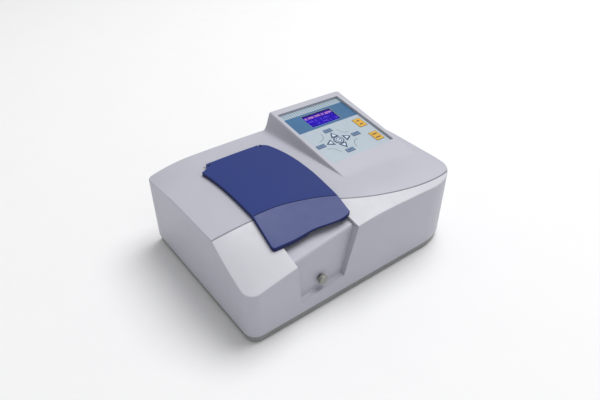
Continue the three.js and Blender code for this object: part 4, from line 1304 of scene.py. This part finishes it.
def key_prints(node):
    """What is printed on a key, over the finish of its rim."""
    if node in ARROW_KEYS:
        x, v, direction = ARROW_KEYS[node]
        return [(triangle(x, v, direction, ARROW_REACH - 4.8), 1)]
    if node in FUNCTION_KEYS:
        x, v = FUNCTION_KEYS[node]
        width, height = FUNCTION_SIZE
        return [(around(x, v, width - 2.4, height - 2.4), 1), (around(x, v + 0.4, width - 7, 2.6), 2)]
    if node in RUN_KEYS:
        x, v, length = RUN_KEYS[node]
        width, height = RUN_SIZE
        bars = [(around(x, v + side * 5.5, length, 3), 2) for side in (1, -1)]
        return [(around(x, v, width - 1.8, height - 1.8), 1)] + bars
    x, v = KEYPAD_X, KEYPAD_V
    rings = [(circle(x, v, ENTER_R - inset), i) for inset, i in ((2.3, 1), (3.7, 0), (5.8, 1))]
    return rings + [(around(x, v - 0.6, 6.4, 1.8), 0), (around(x + 2, v + 1.6, 1.6, 2), 0)]


def make_overlay():
    x0, x1 = PANEL_X0 + FILM_GAP, PANEL_X1 - FILM_GAP
    v0, v1 = PANEL_V0 + FILM_GAP, PANEL_V1 - FILM_GAP
    window = rectangle(WINDOW_X0, WINDOW_X1, WINDOW_V0, WINDOW_V1, 0.6)
    holes = [window] + [grown(line, KEY_GAP) for line in key_outlines().values()]
    prints = [(rectangle(x0 + 0.6, x1 - 0.6, TEAL_V0, TEAL_V1), 1)]
    for x in stops(x0 + 3, x1 - 3, STRIPE_PITCH):
        low = [(x - STRIPE_LOW, TEAL_V1), (x + STRIPE_LOW, TEAL_V1)]
        high = [(x + STRIPE_HIGH, STRIPE_V1), (x - STRIPE_HIGH, STRIPE_V1)]
        prints.append((low + high, 2))
    prints += [(ribbon(points, BRACKET_WIDTH), 3) for points in BRACKETS]
    plate("keypad_film", "keypad_overlay", "chassis", ["film", "teal", "stripe", "line"],
          filled_in(rectangle(x0, x1, v0, v1, 1.6), 20), OVERLAY_TOP_W, OVERLAY_LOW_W, holes, prints)


def make_keys():
    for node, outline in key_outlines().items():
        yellow = node in RUN_KEYS
        finishes = ["yellow_rim", "yellow", "dark_ink"] if yellow else ["ink", "ink_pale", "ink"]
        if node in FUNCTION_KEYS:
            finishes = ["ink", "ink_mid", "ink"]
        plate(f"{node}_printed", node, node, finishes, outline, KEY_TOP_W, KEY_LOW_W,
              prints=key_prints(node))


FACE_TOP_W = -6.95
DOT_TOP_W, DOT_LOW_W = FACE_TOP_W + 0.05, FACE_TOP_W + 0.01
PANE_TOP_W, PANE_LOW_W = -5.25, -6.75
DIGITS = {
    "0": "####.##.##.####", "1": ".#.##..#..#.###", "2": "###..#####..###", "3": "###..####..####",
    "4": "#.##.####..#..#", "5": "####..###..####", "6": "####..####.####", "7": "###..#..#..#..#",
    "8": "####.#####.####", "9": "####.####..####", ".": ".............#.",
}
DOT_PITCH = 1.12
DOT = 0.95
CHARACTER_PITCH = 4.3


def display_row(shape, text, x, v, finish):
    """Dots of a row of numbers whose upper left corner is at x, v."""
    for place, letter in enumerate(text):
        for i, mark in enumerate(DIGITS.get(letter, "")):
            if mark == "#":
                dot_x = x + place * CHARACTER_PITCH + (i % 3) * DOT_PITCH
                dot_v = v - (i // 3) * DOT_PITCH
                corners = around(dot_x, dot_v, DOT, DOT, 0.15)
                rings = [[on_console(a, b, w) for a, b in corners] for w in (DOT_TOP_W, DOT_LOW_W)]
                shape.rings(rings, finish=finish)
                shape.cap(rings[0], finish=finish)
                shape.cap(rings[1], up=False, finish=finish)


def make_display():
    x0, x1, v0, v1 = WINDOW_X0, WINDOW_X1, WINDOW_V0, WINDOW_V1
    field = rectangle(x0 + 1.6, x1 - 1.6, v0 + 1.6, v1 - 4)
    band = rectangle(x0 + 4, x1 - 4, v1 - 13.5, v1 - 6)
    plate("display_face", None, "chassis", ["screen_edge", "screen", "screen_band"],
          rectangle(x0 - 3, x1 + 3, v0 - 3, v1 + 3), FACE_TOP_W, FACE_TOP_W - 0.2,
          prints=[(field, 1), (band, 2)], edge=0.05)
    shape = Shape()
    display_row(shape, "0.250 546.0 1234", x0 + 5, v1 - 7.5, 0)
    display_row(shape, "100.0  0.001", x0 + 5, v1 - 19, 1)
    display_row(shape, "    2  340.5  78", x0 + 5, v1 - 29.5, 1)
    make_piece("display_numbers", shape, "chassis", ["screen_dots", "screen_faint"])
    plate("display_pane", "display_window", "chassis", ["glass"],
          rectangle(x0 + 0.35, x1 - 0.35, v0 + 0.35, v1 - 0.35, 0.6), PANE_TOP_W, PANE_LOW_W)


make_overlay()
make_keys()
make_display()


# ---- pieces kept from the frame

EAR_FINISH = "lid"
SLOT_FINISH = {"overlay": "film", "key_blue": "ink", "key_yellow": "yellow", "display": "screen_edge"}
BEVEL_WIDTH, BEVEL_ANGLE = 0.35, 40


def finish_frame_nodes():
    """Gives every CAD node the finish of its slot, except the hinge ears, and a fine bevel."""
    for part in frame["record"]["subparts"]:
        node = frame["nodes"][part["node"]]
        slot = part["material_slot"]
        finish = SLOT_FINISH.get(slot, slot)
        if part["node"].startswith("hinge_ear"):
            finish = EAR_FINISH
        node.data.materials.clear()
        node.data.materials.append(FINISH[finish])
        bevel = node.modifiers.new("fine_edges", "BEVEL")
        bevel.width = BEVEL_WIDTH * MM
        bevel.segments = 2
        bevel.limit_method = "ANGLE"
        bevel.angle_limit = math.radians(BEVEL_ANGLE)


finish_frame_nodes()
